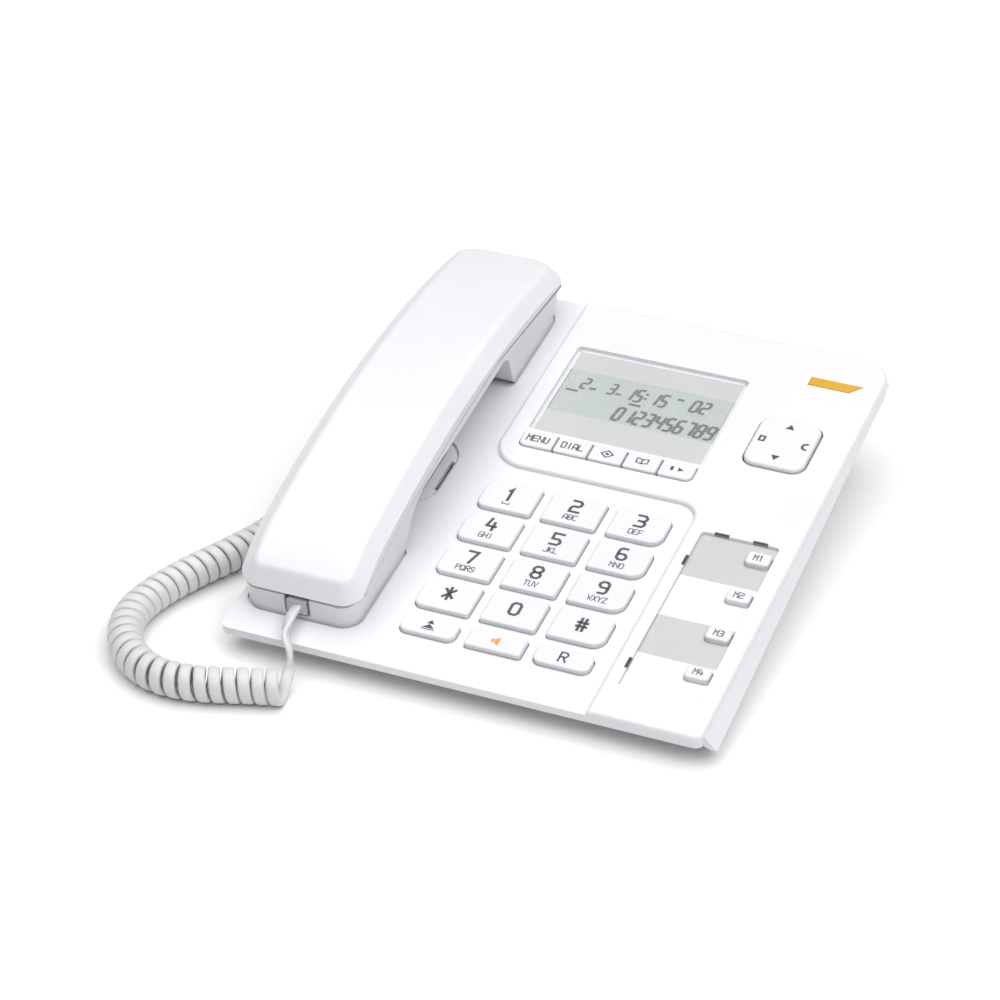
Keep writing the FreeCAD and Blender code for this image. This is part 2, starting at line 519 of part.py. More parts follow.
def make_bottom_cover():
    body = new_body("bottom_cover", DECK)
    front, back = "rim_front", "(deck_depth - rim_back)"
    left, right = f"(rim_left - {HALF_WIDTH})", f"({HALF_WIDTH} - rim_right)"
    wedge = ring([(front, FLOOR.format(v=front)), (back, FLOOR.format(v=back)), (back, "-rim_bottom"),
                  (front, "-rim_bottom")])
    pad(body, sketch_on(body, [wedge], left, "YZ_Plane"), f"{right} - {left}")
    inside = f"({back} - side_wall)"
    # The hollow starts where the sloping floor has dropped its own thickness below the parting line.
    start = "((rim_bottom + (foot_height - front_height) / cos(deck_tilt * 1deg) + floor_wall" \
            " / cos(deck_tilt * 1deg)) / tan(deck_tilt * 1deg) + side_wall)"
    hollow = ring([(start, INNER_FLOOR.format(v=start)), (inside, INNER_FLOOR.format(v=inside)),
                   (inside, "-rim_bottom + 1"), (start, "-rim_bottom + 1")])
    doc.recompute()
    pocket(body, sketch_on(body, [hollow], f"{left} + side_wall", "YZ_Plane"),
           f"{right} - {left} - 2 * side_wall", reverse=True)
    # The right wall leans in towards the floor.
    deep = f"(-{FLOOR.format(v=back)})"
    foot = f"({right} - ({deep} - rim_bottom) * tan(side_lean * 1deg))"
    outside = ring([(right, "-rim_bottom"), (foot, f"-{deep}"), (foot, f"-{deep} - 5"),
                    (f"{right} + 5", f"-{deep} - 5"), (f"{right} + 5", "-rim_bottom")])
    pocket(body, sketch_on(body, [outside], f"5 - {front}", "XZ_Plane"), "deck_depth")
    thick = "side_wall / cos(side_lean * 1deg)"
    wall = ring([(f"{right} - {thick}", "-rim_bottom"), (f"{foot} - {thick}", f"-{deep}"), (foot, f"-{deep}"),
                 (right, "-rim_bottom")])
    pad(body, sketch_on(body, [wall], f"-{front}", "XZ_Plane"), f"{back} - {front}", reverse=True)
    doc.recompute()
    below = ring([(f"{front} - 5", FLOOR.format(v=f"({front} - 5)")), (f"{front} - 5", f"-{deep} - 5"),
                  (f"{back} + 5", f"-{deep} - 5"), (f"{back} + 5", FLOOR.format(v=f"({back} + 5)"))])
    pocket(body, sketch_on(body, [below], f"{left} - 5", "YZ_Plane"), f"{right} - {left} + 10", reverse=True)
    # Screw bosses stand on the floor under the posts of the top cover.
    for x, v in POSTS:
        depth = f"(-rim_bottom - {INNER_FLOOR.format(v=v)} + floor_wall / 2)"
        pad(body, sketch_on(body, [], "-rim_bottom", circles=[(x, v, "boss_diameter")]), depth, reverse=True)
        doc.recompute()
        pocket(body, sketch_on(body, [], "-rim_bottom", circles=[(x, v, "hole_diameter")]),
               f"-rim_bottom - {FLOOR.format(v=v)} + head_room")
        pocket(body, sketch_on(body, [], "-(rim_bottom + screw_seat)", circles=[(x, v, "head_room")]),
               f"-(rim_bottom + screw_seat) - {FLOOR.format(v=v)} + head_room")
    # Rib that carries the line board.
    rib = rectangle("line_board_left + 4", "line_board_front + 20", "line_board_right - 4",
                    "line_board_front + 22")
    pad(body, sketch_on(body, [rib], "-(line_board_top + board_thickness)"),
        f"-(line_board_top + board_thickness) - {FLOOR.format(v='(line_board_front + 20)')} - floor_wall / 2",
        reverse=True)
    doc.recompute()
    mouth = opening("(jack_middle - jack_width / 2)", "(-line_board_top)", "jack_width", "jack_height",
                    ("0.5",) * 4, "fit_gap")
    pocket(body, sketch_on(body, [mouth], f"-{inside} + 1", "XZ_Plane"), "side_wall + 2")
    slot = rectangle("base_plug_line - plug_width / 2 - fit_gap",
                     "-(base_plug_height + plug_height / 2 + fit_gap)",
                     "base_plug_line + plug_width / 2 + fit_gap", "-rim_bottom + 1")
    pocket(body, sketch_on(body, [slot], f"{left} - 1", "YZ_Plane"), "side_wall + 1.5", reverse=True)


def make_key(name, left, front, width, length, radii, top, flange_sides="key_flange", edge="key_edge"):
    body = new_body(name, on_deck(left, front))
    outline = rounded("0", "0", width, length, radii)
    pad(body, sketch_on(body, [outline], FLANGE_TOP), f"{top} - ({FLANGE_TOP})")
    flange = rectangle(f"-({flange_sides})", "-key_flange", f"{width} + {flange_sides}",
                       f"{length} + key_flange")
    pad(body, sketch_on(body, [flange], FLANGE_BOTTOM), "key_flange_thickness")
    fillet(body, edge, level(top))


def make_keys():
    for row, names in enumerate(KEY_NAMES):
        for column, name in enumerate(names):
            make_key(name, f"key_left + {column} * column_pitch", f"key_front + {row} * row_pitch",
                     "key_width", "key_length", COLUMN_CORNERS[column], "key_rise")
    for column, name in enumerate(SHORT_KEY_NAMES):
        radii = ("key_round_radius",) * 4 if column != 1 else COLUMN_CORNERS[1]
        make_key(name, f"key_left + {column} * column_pitch", "short_key_front", "key_width",
                 "short_key_length", radii, "key_rise")
    for number in range(5):
        first, last = number == 0, number == 4
        radii = ("soft_radius" if first else "key_small_radius", "soft_radius" if last else "key_small_radius",
                 "key_small_radius", "key_small_radius")
        make_key(f"soft_key_{number + 1}", f"soft_left + {number} * soft_pitch", "soft_front",
                 "(soft_pitch - soft_gap)", "soft_length", radii, "(console_step + soft_rise)", "0")
    for number in range(4):
        make_key(f"memory_key_{number + 1}", "memory_key_left",
                 f"memory_key_front + {3 - number} * memory_key_pitch", "memory_key_width",
                 "memory_key_length", ("memory_key_radius",) * 4, "(console_step + soft_rise)",
                 "(key_flange / 2)")


def make_nav_key():
    body = new_body("nav_key", on_deck("nav_middle", "nav_line"))
    flange_top = "-(top_wall + nav_flange_gap)"
    half_width, half_length = "(nav_width / 2)", "(nav_length / 2)"
    cap = rounded(f"-{half_width}", f"-{half_length}", half_width, half_length, "nav_corner")
    top = "(console_step + nav_rise)"
    pad(body, sketch_on(body, [cap], flange_top), f"{top} - ({flange_top})")
    flange = rounded(f"-{half_width} - nav_flange", f"-{half_length} - nav_flange",
                     f"{half_width} + nav_flange", f"{half_length} + nav_flange", "nav_corner")
    pad(body, sketch_on(body, [flange], flange_top), "nav_flange_thickness", reverse=True)
    fillet(body, "nav_edge", level(top))
    bottom = "top_wall + nav_flange_gap + nav_flange_thickness + hub_gap"
    cylinder("nav_hub", "nav_middle", "nav_line", f"{BOARD_TOP} + hub_gap", "hub_diameter",
             f"-({BOARD_TOP}) - ({bottom}) - hub_gap")


def make_display():
    body = new_body("display_window", DECK)
    pane = rounded("display_left + window_gap", "display_front + window_gap", "display_right - window_gap",
                   "display_back - window_gap", "(display_corner - window_gap)")
    pad(body, sketch_on(body, [pane], "console_step - window_sink - window_thickness"), "window_thickness")
    # The display fills the opening in the cover, just under the window, and a ring below holds it.
    inset = "(window_ledge + lcd_side)"
    lcd_left, lcd_right = f"(display_left + {inset})", f"(display_right - {inset})"
    lcd_front, lcd_back = f"(display_front + {inset})", f"(display_back - {inset})"
    box("lcd_panel", lcd_left, lcd_front,
        "console_step - window_sink - window_thickness - lcd_gap - lcd_thickness",
        f"{lcd_right} - {lcd_left}", f"{lcd_back} - {lcd_front}", "lcd_thickness")
    frame = new_body("lcd_frame", DECK)
    outer = rectangle(f"{lcd_left} - frame_border", f"{lcd_front} - window_ledge",
                      f"{lcd_right} + frame_border", f"{lcd_back} + frame_border")
    inner = rectangle(f"{lcd_left} - fit_gap", f"{lcd_front} - fit_gap", f"{lcd_right} + fit_gap",
                      f"{lcd_back} + fit_gap")
    pad(frame, sketch_on(frame, [outer, inner], "-(top_wall + lcd_gap + frame_thickness)"), "frame_thickness")


def make_memory_strip():
    floor = "(console_step - memory_depth)"
    strip = rounded("memory_left + window_gap", "memory_front + window_gap", "memory_right - window_gap",
                    "memory_back - window_gap", "(memory_corner - window_gap)")
    for name, bottom, thickness in (("memory_card", floor, "card_thickness"),
                                    ("memory_window", f"{floor} + card_thickness + window_gap",
                                     "memory_window_thickness")):
        body = new_body(name, DECK)
        pad(body, sketch_on(body, [strip], bottom), thickness)
        doc.recompute()
        hole = sketch_on(body, [memory_opening()], "console_step")
        along(body, pocket(body, hole, "memory_depth + 1"), hole, "V_Axis", "memory_key_pitch", 4)


def make_light():
    body = new_body("ring_light_lens", DECK)
    pad(body, sketch_on(body, [light_outline("0")], "-top_wall"), "top_wall + console_step + light_rise")
    box("ring_light_led", "light_left + light_length / 2", "light_front + light_width / 2 - led_width / 2",
        BOARD_TOP, "led_length", "led_width", "led_height")


def make_boards():
    board = new_body("main_board", DECK)
    holes = [(x, v, "(post_diameter + 2 * fit_gap)") for x, v in POSTS[2:]]
    plate = rectangle("board_left", "board_front", "board_right", "board_back")
    pad(board, sketch_on(board, [plate], "-rim_bottom", circles=holes), "board_thickness")
    mat = new_body("keypad_mat", DECK)
    sheet_outline = rectangle("mat_left", "board_front", "board_right", "mat_back")
    pad(mat, sketch_on(mat, [sheet_outline], BOARD_TOP, circles=holes[:1]), "mat_thickness")
    columns = [f"key_left + key_width / 2 + {column} * column_pitch" for column in range(3)]
    rows = [f"key_front + key_length / 2 + {row} * row_pitch" for row in range(len(KEY_NAMES))]
    rows.append("short_key_front + short_key_length / 2")
    spots = [(x, v) for v in rows for x in columns]
    spots += [(f"soft_left + (soft_pitch - soft_gap) / 2 + {number} * soft_pitch",
               "soft_front + soft_length / 2") for number in range(5)]
    spots += [("memory_key_left + memory_key_width / 2",
               f"memory_key_front + memory_key_length / 2 + {number} * memory_key_pitch")
              for number in range(4)]
    domes = [(x, v, "dome_diameter") for x, v in spots]
    pad(mat, sketch_on(mat, [], f"{BOARD_TOP} + mat_thickness", circles=domes), "dome_height")
    line_board_depth = "deck_depth - rim_back - side_wall - 1 - line_board_front"
    box("line_board", "line_board_left", "line_board_front", "-(line_board_top + board_thickness)",
        "line_board_right - line_board_left", line_board_depth, "board_thickness")
    cylinder("handsfree_microphone", "post_left", "base_mic_line", "-top_wall - mic_height + 2", "mic_diameter",
             "mic_height - 2")


def make_jacks():
    jack = new_body("line_jack", DECK)
    back = "(deck_depth - rim_back)"
    outer = rectangle("jack_middle - jack_width / 2", "-line_board_top", "jack_middle + jack_width / 2",
                      "-line_board_top + jack_height")
    pad(jack, sketch_on(jack, [outer], f"-{back}", "XZ_Plane"), "jack_depth")
    doc.recompute()
    mouth = rectangle("jack_middle - jack_mouth_width / 2", "-line_board_top + 2",
                      "jack_middle + jack_mouth_width / 2", "-line_board_top + 2 + jack_mouth_height")
    pocket(jack, sketch_on(jack, [mouth], f"-{back}", "XZ_Plane"), "jack_mouth_depth", reverse=True)


def make_hook():
    box("hook_switch", "handset_middle - switch_width / 2", "hook_line - switch_length / 2", "-line_board_top",
        "switch_width", "switch_length", "switch_height")
    body = new_body("hook_plunger", on_deck("handset_middle", "hook_line"))
    top = "(-cradle_depth + cradle_gap - plunger_sink)"
    flange_top = "(-(top_wall + plunger_gap + plunger_travel))"
    head = rounded("-plunger_width / 2", "-plunger_length / 2", "plunger_width / 2", "plunger_length / 2",
                   "key_round_radius")
    pad(body, sketch_on(body, [head], flange_top), f"{top} - {flange_top}")
    flange = rectangle("-plunger_width / 2 - plunger_flange", "-plunger_length / 2 - plunger_flange",
                       "plunger_width / 2 + plunger_flange", "plunger_length / 2 + plunger_flange")
    pad(body, sketch_on(body, [flange], flange_top), "hook_flange_thickness", reverse=True)
    stem_top = f"({flange_top} - hook_flange_thickness)"
    pad(body, sketch_on(body, [], stem_top, circles=[("0", "0", "plunger_stem")]),
        f"{stem_top} + line_board_top - switch_height - plunger_gap", reverse=True)


def make_fasteners():
    screws = []
    for number, (x, v) in enumerate(POSTS):
        body = new_body(f"cover_screw_{number + 1}", on_deck(x, v, "-(rim_bottom + screw_seat)"))
        pad(body, sketch_on(body, circles=[("0", "0", "head_diameter")]), "head_height", reverse=True)
        pad(body, sketch_on(body, circles=[("0", "0", "screw_diameter")]), "screw_seat + screw_reach")
        screws.append(body)
    group("cover_screws", screws)
    feet = []
    spots = []
    for v in ("(rim_front + foot_inset)", "(deck_depth - rim_back - foot_inset)"):
        lean = f"({FLOOR.format(v=v)} + rim_bottom) * tan(side_lean * 1deg)"
        spots.append((f"rim_left + foot_inset - {HALF_WIDTH}", v))
        spots.append((f"{HALF_WIDTH} - rim_right - foot_inset + {lean}", v))
    for number, (x, v) in enumerate(spots):
        foot = cylinder(f"foot_{number + 1}", x, v, "0", "foot_diameter", "foot_height")
        spot = DECK.multVec(vector(x, v, FLOOR.format(v=v)))
        foot.Placement = FreeCAD.Placement(FreeCAD.Vector(spot.x, spot.y, 0), FreeCAD.Rotation())
        feet.append(foot)
    group("rubber_feet", feet)
    weight = box("base_weight", "0", "0", "0", "weight_length", "weight_width", "weight_thickness")
    spot = DECK.multVec(vector("weight_left", "weight_front", FLOOR.format(v="weight_front")))
    weight.Placement = FreeCAD.Placement(
        FreeCAD.Vector(spot.x, spot.y, size("foot_height + floor_wall")), FreeCAD.Rotation())
    cylinder("loudspeaker", "speaker_middle", "speaker_line", "-(top_wall + speaker_height)",
             "speaker_diameter", "speaker_height")


# Seam of the handset from front to back, as points of v and height.
SEAM = [("handset_front", "seam_front"), ("seam_mouth_line", "seam_mouth"), ("seam_neck_line", "seam_neck"),
        ("seam_grip_front", "seam_grip"), ("seam_grip_back", "(seam_grip + 1)"), ("handset_back", "seam_tail")]


# The nose is an arc that runs on smoothly from the crown.
CROWN_CHORD = "sqrt((handset_back - nose_back) ^ 2 + (tail_height - nose_height) ^ 2)"
CROWN_SLOPE = f"(asin({CROWN_CHORD} / (2 * crown_radius))" \
              " + atan((tail_height - nose_height) / (handset_back - nose_back)))"
NOSE_CHORD = "sqrt((nose_back - handset_front) ^ 2 + (nose_height - nose_bottom) ^ 2)"
NOSE_TURN = f"(atan((nose_height - nose_bottom) / (nose_back - handset_front)) - {CROWN_SLOPE})"
NOSE_RADIUS = f"({NOSE_CHORD} / (2 * sin({NOSE_TURN})))"


def cut_outside_plan(body, half_width, front, back, corner):
    # Rounds the piece's corners in plan by cutting away what is outside a rounded rectangle.
    margin = "handset_width"
    outside = rectangle(f"-{margin}", f"{front} - {margin}", margin, f"{back} + {margin}")
    inside = rounded(f"-{half_width}", front, half_width, back, corner)
    pocket(body, sketch_on(body, [outside, inside], "2 * handset_width"), "4 * handset_width")


def make_handset_upper_shell():
    body = new_body("handset_upper_shell", on_deck("handset_middle"))
    half = "(handset_width / 2)"
    side = ring([("handset_front", "0"), ("handset_back", "0"),
                 ("handset_back", "tail_height", "crown_radius"),
                 ("nose_back", "nose_height", NOSE_RADIUS), ("handset_front", "nose_bottom")])
    pad(body, sketch_on(body, [side], f"-{half}", "YZ_Plane"), "handset_width")
    doc.recompute()
    cut_outside_plan(body, half, "handset_front", "handset_back",
                     ("handset_corner", "handset_corner", "tail_corner", "tail_corner"))
    lowest = size("nose_bottom")

    def inset(point):
        # How far the point lies inside the rounded outline seen from above.
        corner = size("tail_corner" if point.y > size("seam_grip_front") else "handset_corner")
        across = size("handset_width / 2") - corner
        front, back = size("handset_front") + corner, size("handset_back") - corner
        x, y = max(abs(point.x) - across, 0), max(front - point.y, point.y - back, 0)
        return corner - math.hypot(x, y)

    def lying(edge):
        heights = [point.z for point in edge.discretize(5)]
        return max(heights) - min(heights) < 0.9 * edge.Length

    def rim_edge(edge):
        points = edge.discretize(5)
        return lying(edge) and min(point.z for point in points) > lowest - 1e-6 and abs(inset(points[2])) < 1e-3

    def bevel_edge(edge):
        return lying(edge) and abs(inset(edge.discretize(5)[2]) - size("handset_bevel - 0.5")) < 1

    chamfer(body, "handset_bevel", rim_edge)
    fillet(body, "bevel_round", bevel_edge)
    # The seam runs past both ends, so that the cut does too.
    (first, first_height), *between, (last, last_height) = SEAM
    below = ring([("handset_back + 5", "-10"), (f"{last} + 5", last_height), *reversed(between),
                  (f"{first} - 5", first_height), ("handset_front - 5", "-10")])
    pocket(body, sketch_on(body, [below], f"-{half} - 5", "YZ_Plane"), "handset_width + 10", reverse=True)
    hollow = ring([("handset_front + 7", "0"), ("handset_back - shell_wall - 4", "0"),
                   ("handset_back - shell_wall - 4", "tail_height - 6"),
                   ("handset_back - 9", "tail_height - 3.5"), ("handset_back - 44", "tail_height + 5"),
                   ("seam_grip_front + 20", "tail_height + 8.6"), ("grip_front", "nose_height + 2"),
                   ("nose_back + 2", "nose_height - 3.2"),
                   ("handset_front + 7", "nose_bottom - 1")])
    pocket(body, sketch_on(body, [hollow], "-shell_cavity / 2", "YZ_Plane"), "shell_cavity", reverse=True)
    foot = "handset_screw_top + fit_gap"
    for line, top in (("handset_screw_front", "handset_post_top"),
                      ("handset_screw_back", "(handset_post_top + 1.5)")):
        post = sketch_on(body, height=foot, circles=[("0", line, "post_diameter")])
        pad(body, post, f"{top} - handset_screw_top - fit_gap")
        doc.recompute()
        pilot = sketch_on(body, height=foot, circles=[("0", line, "pilot_diameter")])
        pocket(body, pilot, "handset_screw_length - handset_screw_top", reverse=True)


def make_handset_lower_shell():
    body = new_body("handset_lower_shell", on_deck("handset_middle"))
    bottom = "(cradle_gap - cradle_depth)"
    half, foot = "(handset_width / 2 - block_gap)", "(block_width / 2)"
    front, back = "(handset_front + block_inset)", "(handset_back - block_lean)"
    inner = [(v, z) for v, z in SEAM[1:-1]]
    # The seam's end heights, taken back to the block's own ends.
    front_height = "(seam_front + (seam_mouth - seam_front) * block_inset / (seam_mouth_line - handset_front))"
    back_height = "(seam_tail + (seam_grip + 1 - seam_tail) * block_inset / (handset_back - seam_grip_back))"
    # The face towards the grip at the ear: steep, with a hollow bend above and a round one below.
    steep, flat = "sin(ear_slope * 1deg)", "cos(ear_slope * 1deg)"
    grip_end = f"(ear_front - (grip_bottom + 1 - {bottom}) / tan(ear_slope * 1deg))"
    over, under = "(ear_bend * tan(ear_slope / 2 * 1deg))", "(ear_foot * tan(ear_slope / 2 * 1deg))"
    side = ring([(front, bottom), ("mouth_back", bottom),
                 ("grip_front - mouth_bend * sin(55deg)", "grip_bottom - mouth_bend * (1 - cos(55deg))",
                  "-mouth_bend"), ("grip_front", "grip_bottom"),
                 (f"{grip_end} - {over}", "grip_bottom + 1", "-ear_bend"),
                 (f"{grip_end} + {over} * {flat}", f"grip_bottom + 1 - {over} * {steep}"),
                 (f"ear_front - {under} * {flat}", f"{bottom} + {under} * {steep}", "ear_foot"),
                 (f"ear_front + {under}", bottom), (back, bottom), ("handset_back - block_inset", back_height),
                 *reversed(inner), (front, front_height)])
    pad(body, sketch_on(body, [side], f"-{half}", "YZ_Plane"), f"2 * {half}")
    doc.recompute()
    # The sides draw in towards the bottom.
    wedge = [(foot, f"{bottom} - 2"), (f"{half} + 1", f"{bottom} - 2"), (f"{half} + 1", "grip_bottom"),
             (half, "grip_bottom"), (foot, bottom)]
    wedges = [ring(wedge), ring([(f"-({x})", z) for x, z in reversed(wedge)])]
    pocket(body, sketch_on(body, wedges, f"5 - {front}", "XZ_Plane"), "handset_back")

    def tall(edge):
        return abs(edge.Vertexes[0].Z - edge.Vertexes[-1].Z) > 3

    def front_corner(edge):
        return tall(edge) and max(vertex.Y for vertex in edge.Vertexes) < size(front) + 1e-3

    def back_corner(edge):
        return tall(edge) and min(vertex.Y for vertex in edge.Vertexes) > size(back) - 1e-3

    fillet(body, "block_corner", front_corner)
    fillet(body, "tail_block_corner", back_corner)
    floor = f"({bottom} + shell_wall)"
    hollow = ring([(f"{front} + shell_wall", floor), ("mouth_back - shell_wall", floor),
                   ("grip_front - 12", "grip_bottom - 0.5"), ("grip_front - 3", "grip_bottom + shell_wall"),
                   (f"{grip_end} + 1", "grip_bottom + 1 + shell_wall"), (f"ear_front + {under}", floor),
                   (f"{back} - shell_wall", floor), (f"{back} - shell_wall", "handset_width"),
                   (f"{front} + shell_wall", "handset_width")])
    pocket(body, sketch_on(body, [hollow], "-shell_cavity / 2", "YZ_Plane"), "shell_cavity", reverse=True)

    def at_screws(diameter, height):
        lines = ("handset_screw_front", "handset_screw_back")
        return sketch_on(body, height=height, circles=[("0", line, diameter) for line in lines])

    pad(body, at_screws("post_diameter", f"{bottom} + shell_wall / 2"),
        f"handset_screw_top - {bottom} - shell_wall / 2")
    doc.recompute()
    pocket(body, at_screws("hole_diameter", "handset_screw_top"), f"handset_screw_top - {bottom} + 1")
    pocket(body, at_screws("(head_diameter + 2 * fit_gap)", f"{bottom} + screw_seat + head_height"),
           "screw_seat + head_height + 1")
    # Sound holes of the earpiece, and one for the microphone.
    holes = [("0", "receiver_line", "sound_hole"), ("0", "handset_mic_line", "sound_hole")]
    holes += [(f"sound_circle / 2 * cos({angle} * 1deg)",
               f"receiver_line + sound_circle / 2 * sin({angle} * 1deg)", "sound_hole")
              for angle in range(0, 360, 60)]
    pocket(body, sketch_on(body, height=floor, circles=holes), "shell_wall + 1")
    mouth = opening("(handset_plug_middle - handset_middle - plug_width / 2 - socket_wall)",
                    "(handset_plug_height - plug_height / 2 - socket_wall)", "(plug_width + 2 * socket_wall)",
                    "(plug_height + 2 * socket_wall)", ("0.5",) * 4, "fit_gap")
    pocket(body, sketch_on(body, [mouth], f"-({front} + shell_wall + 1)", "XZ_Plane"), "shell_wall + 2",
           reverse=True)


def make_handset_inside():
    floor = "(cradle_gap - cradle_depth + shell_wall + fit_gap)"
    cylinder("handset_receiver", "handset_middle", "receiver_line", floor, "receiver_diameter",
             "receiver_height")
    cylinder("handset_microphone", "handset_middle", "handset_mic_line", floor, "mic_diameter",
             "handset_mic_height")
    box("handset_weight", "handset_middle - handset_weight_width / 2", "grip_front + 8",
        "grip_bottom + 1 + shell_wall + fit_gap", "handset_weight_width", "handset_weight_length",
        "handset_weight_thickness")
    screws = []
    seat = "(cradle_gap - cradle_depth + screw_seat + head_height)"
    for number, line in enumerate(("handset_screw_front", "handset_screw_back")):
        body = new_body(f"handset_screw_{number + 1}", on_deck("handset_middle", line, seat))
        pad(body, sketch_on(body, circles=[("0", "0", "head_diameter")]), "head_height", reverse=True)
        pad(body, sketch_on(body, circles=[("0", "0", "screw_diameter")]), f"handset_screw_length - {seat} - 1")
        screws.append(body)
    group("handset_screws", screws)


def make_socket(label, place):
    # Modular socket: its mouth faces the sketch's own -Y, with the plug's middle at the origin.
    body = new_body(label, place)
    wide, tall = "(plug_width / 2 + fit_gap)", "(plug_height / 2 + fit_gap)"
    outer = rectangle(f"-{wide} - socket_wall + fit_gap", f"-{tall} - socket_wall + fit_gap",
                      f"{wide} + socket_wall - fit_gap", f"{tall} + socket_wall - fit_gap")
    pad(body, sketch_on(body, [outer], "0", "XZ_Plane"), "socket_depth", reverse=True)
    doc.recompute()
    pocket(body, sketch_on(body, [rectangle(f"-{wide}", f"-{tall}", wide, tall)], "0", "XZ_Plane"),
           "plug_length - plug_out + fit_gap")


def make_plug(label, place):
    body = new_body(label, place)
    outline = rounded("-plug_width / 2", "-plug_height / 2", "plug_width / 2", "plug_height / 2", "0.6")
    pad(body, sketch_on(body, [outline], "plug_out", "XZ_Plane"), "plug_length", reverse=True)


def plug_places():
    handset = on_deck("handset_plug_middle", "handset_front + block_inset + shell_wall + fit_gap + plug_sink",
                      "handset_plug_height")
    left = f"rim_left + side_wall + fit_gap - {HALF_WIDTH}"
    base = on_deck(left, "base_plug_line", "-base_plug_height")
    turned = base.multiply(FreeCAD.Placement(FreeCAD.Vector(), FreeCAD.Rotation(FreeCAD.Vector(0, 0, 1), -90)))
    return handset, turned


def biarc(start, start_way, stop, stop_way):
    # Two arcs that join two points and leave and meet them in the given directions.
    reach = stop - start
    a = 2 * (1 - start_way.dot(stop_way))
    b = 2 * reach.dot(start_way + stop_way)
    span = (-b + math.sqrt(b * b + 4 * a * reach.dot(reach))) / (2 * a)
    joint = (start + start_way * span + stop - stop_way * span) * 0.5
    return [bend(start, start + start_way * span, joint), bend(joint, stop - stop_way * span, stop)]


def bend(start, corner, stop):
    # The arc from start to stop that is tangent to both legs of the corner.
    middle = (start + stop) * 0.5
    half = (stop - start).Length / 2
    slope = math.acos(min(1.0, half / (corner - start).Length))
    return Part.Arc(start, middle + (corner - middle).normalize() * half * math.tan(slope / 2), stop).toShape()


def tube(label, edges, diameter):
    wire = Part.Wire(edges)
    start = edges[0].valueAt(edges[0].FirstParameter)
    profile = Part.Wire(Part.makeCircle(diameter / 2, start, edges[0].tangentAt(edges[0].FirstParameter)))
    solid = wire.makePipeShell([profile], True, False)
    share = solid.Volume / (math.pi * diameter ** 2 / 4 * wire.Length)
    print(f"{label}: length {wire.Length:.1f}, volume over section times length {share:.4f}")
    piece = doc.addObject("Part::Feature", label)
    piece.Shape = solid
    return keep(piece, label, FreeCAD.Placement())


def lead(label, points, diameter):
    # Straight runs joined by the largest arcs that they leave room for.
    edges = []
    at = points[0]
    for before, corner, after in zip(points, points[1:], points[2:]):
        back, on = (before - corner), (after - corner)
        turn = math.pi - back.getAngle(on)
        room = 0.45 * min(back.Length, on.Length)
        print(f"{label}: bend radius {room / math.tan(turn / 2):.1f}")
        first, last = corner + back.normalize() * room, corner + on.normalize() * room
        edges.append(Part.LineSegment(at, first).toShape())
        edges.append(bend(first, corner, last))
        at = last
    edges.append(Part.LineSegment(at, points[-1]).toShape())
    return tube(label, edges, diameter)


def on_table(x, y, z):
    return FreeCAD.Vector(x - BASE_MIDDLE, y + FRONT_EDGE, z)


def make_cord(handset_place, base_place):
    diameter, outside = size("cord_diameter"), size("coil_diameter")
    radius = (outside - diameter) / 2
    middle = Part.BSplineCurve()
    middle.interpolate([on_table(x, y, (outside + size("fit_gap")) / 2) for x, y in COIL_ROUTE])
    line = middle.toShape()
    up = FreeCAD.Vector(0, 0, 1)

    def curl(turn):
        # A point of the helix, which starts low at the back and ends on top.
        along_line = line.getParameterByLength(line.Length * turn / COIL_TURNS)
        way = line.tangentAt(along_line)
        side = way.cross(up).normalize()
        angle = math.radians(-45) - 2 * math.pi * turn
        return line.valueAt(along_line) + (side * math.cos(angle) + up * math.sin(angle)) * radius

    def heading(turn):
        step = 1e-4
        low, high = max(turn - step, 0), min(turn + step, COIL_TURNS)
        return (curl(high) - curl(low)).normalize()

    halves = round(COIL_TURNS * 2)
    stations = [COIL_TURNS * number / halves for number in range(halves + 1)]
    ends = [(curl(turn), heading(turn)) for turn in stations]
    first, last = ends[0], ends[-1]
    entry, leave = first[0] - first[1] * diameter, last[0] + last[1] * diameter
    edges = [Part.LineSegment(entry, first[0]).toShape()]
    for (start, start_way), (stop, stop_way) in zip(ends, ends[1:]):
        edges += biarc(start, start_way, stop, stop_way)
    edges.append(Part.LineSegment(last[0], leave).toShape())
    tube("cord_coil", edges, diameter)
    points = [point for edge in edges for point in edge.discretize(Distance=1.0)]
    apart = round(math.pi * radius)
    gap = min(one.distanceToPoint(two) for n, one in enumerate(points)
              for two in points[n + apart:n + 4 * apart])
    print(f"cord_coil: least gap to itself {gap - diameter:.2f}")
    # Each lead leaves its plug, and meets the curls, straight on.
    run = 2 * diameter
    ends = []
    for place in (handset_place, base_place):
        out = place.Rotation.multVec(FreeCAD.Vector(0, -1, 0))
        ends.append((place.Base + out * size("plug_out"), place.Base + out * (size("plug_out") + run)))
    middle_points = [on_table(*spot) for spot in HANDSET_LEAD]
    lead("handset_lead", [*ends[0], *middle_points, entry - first[1] * run, entry], diameter)
    lead("base_lead", [leave, leave + last[1] * run * 0.8, ends[1][1], ends[1][0]], diameter)


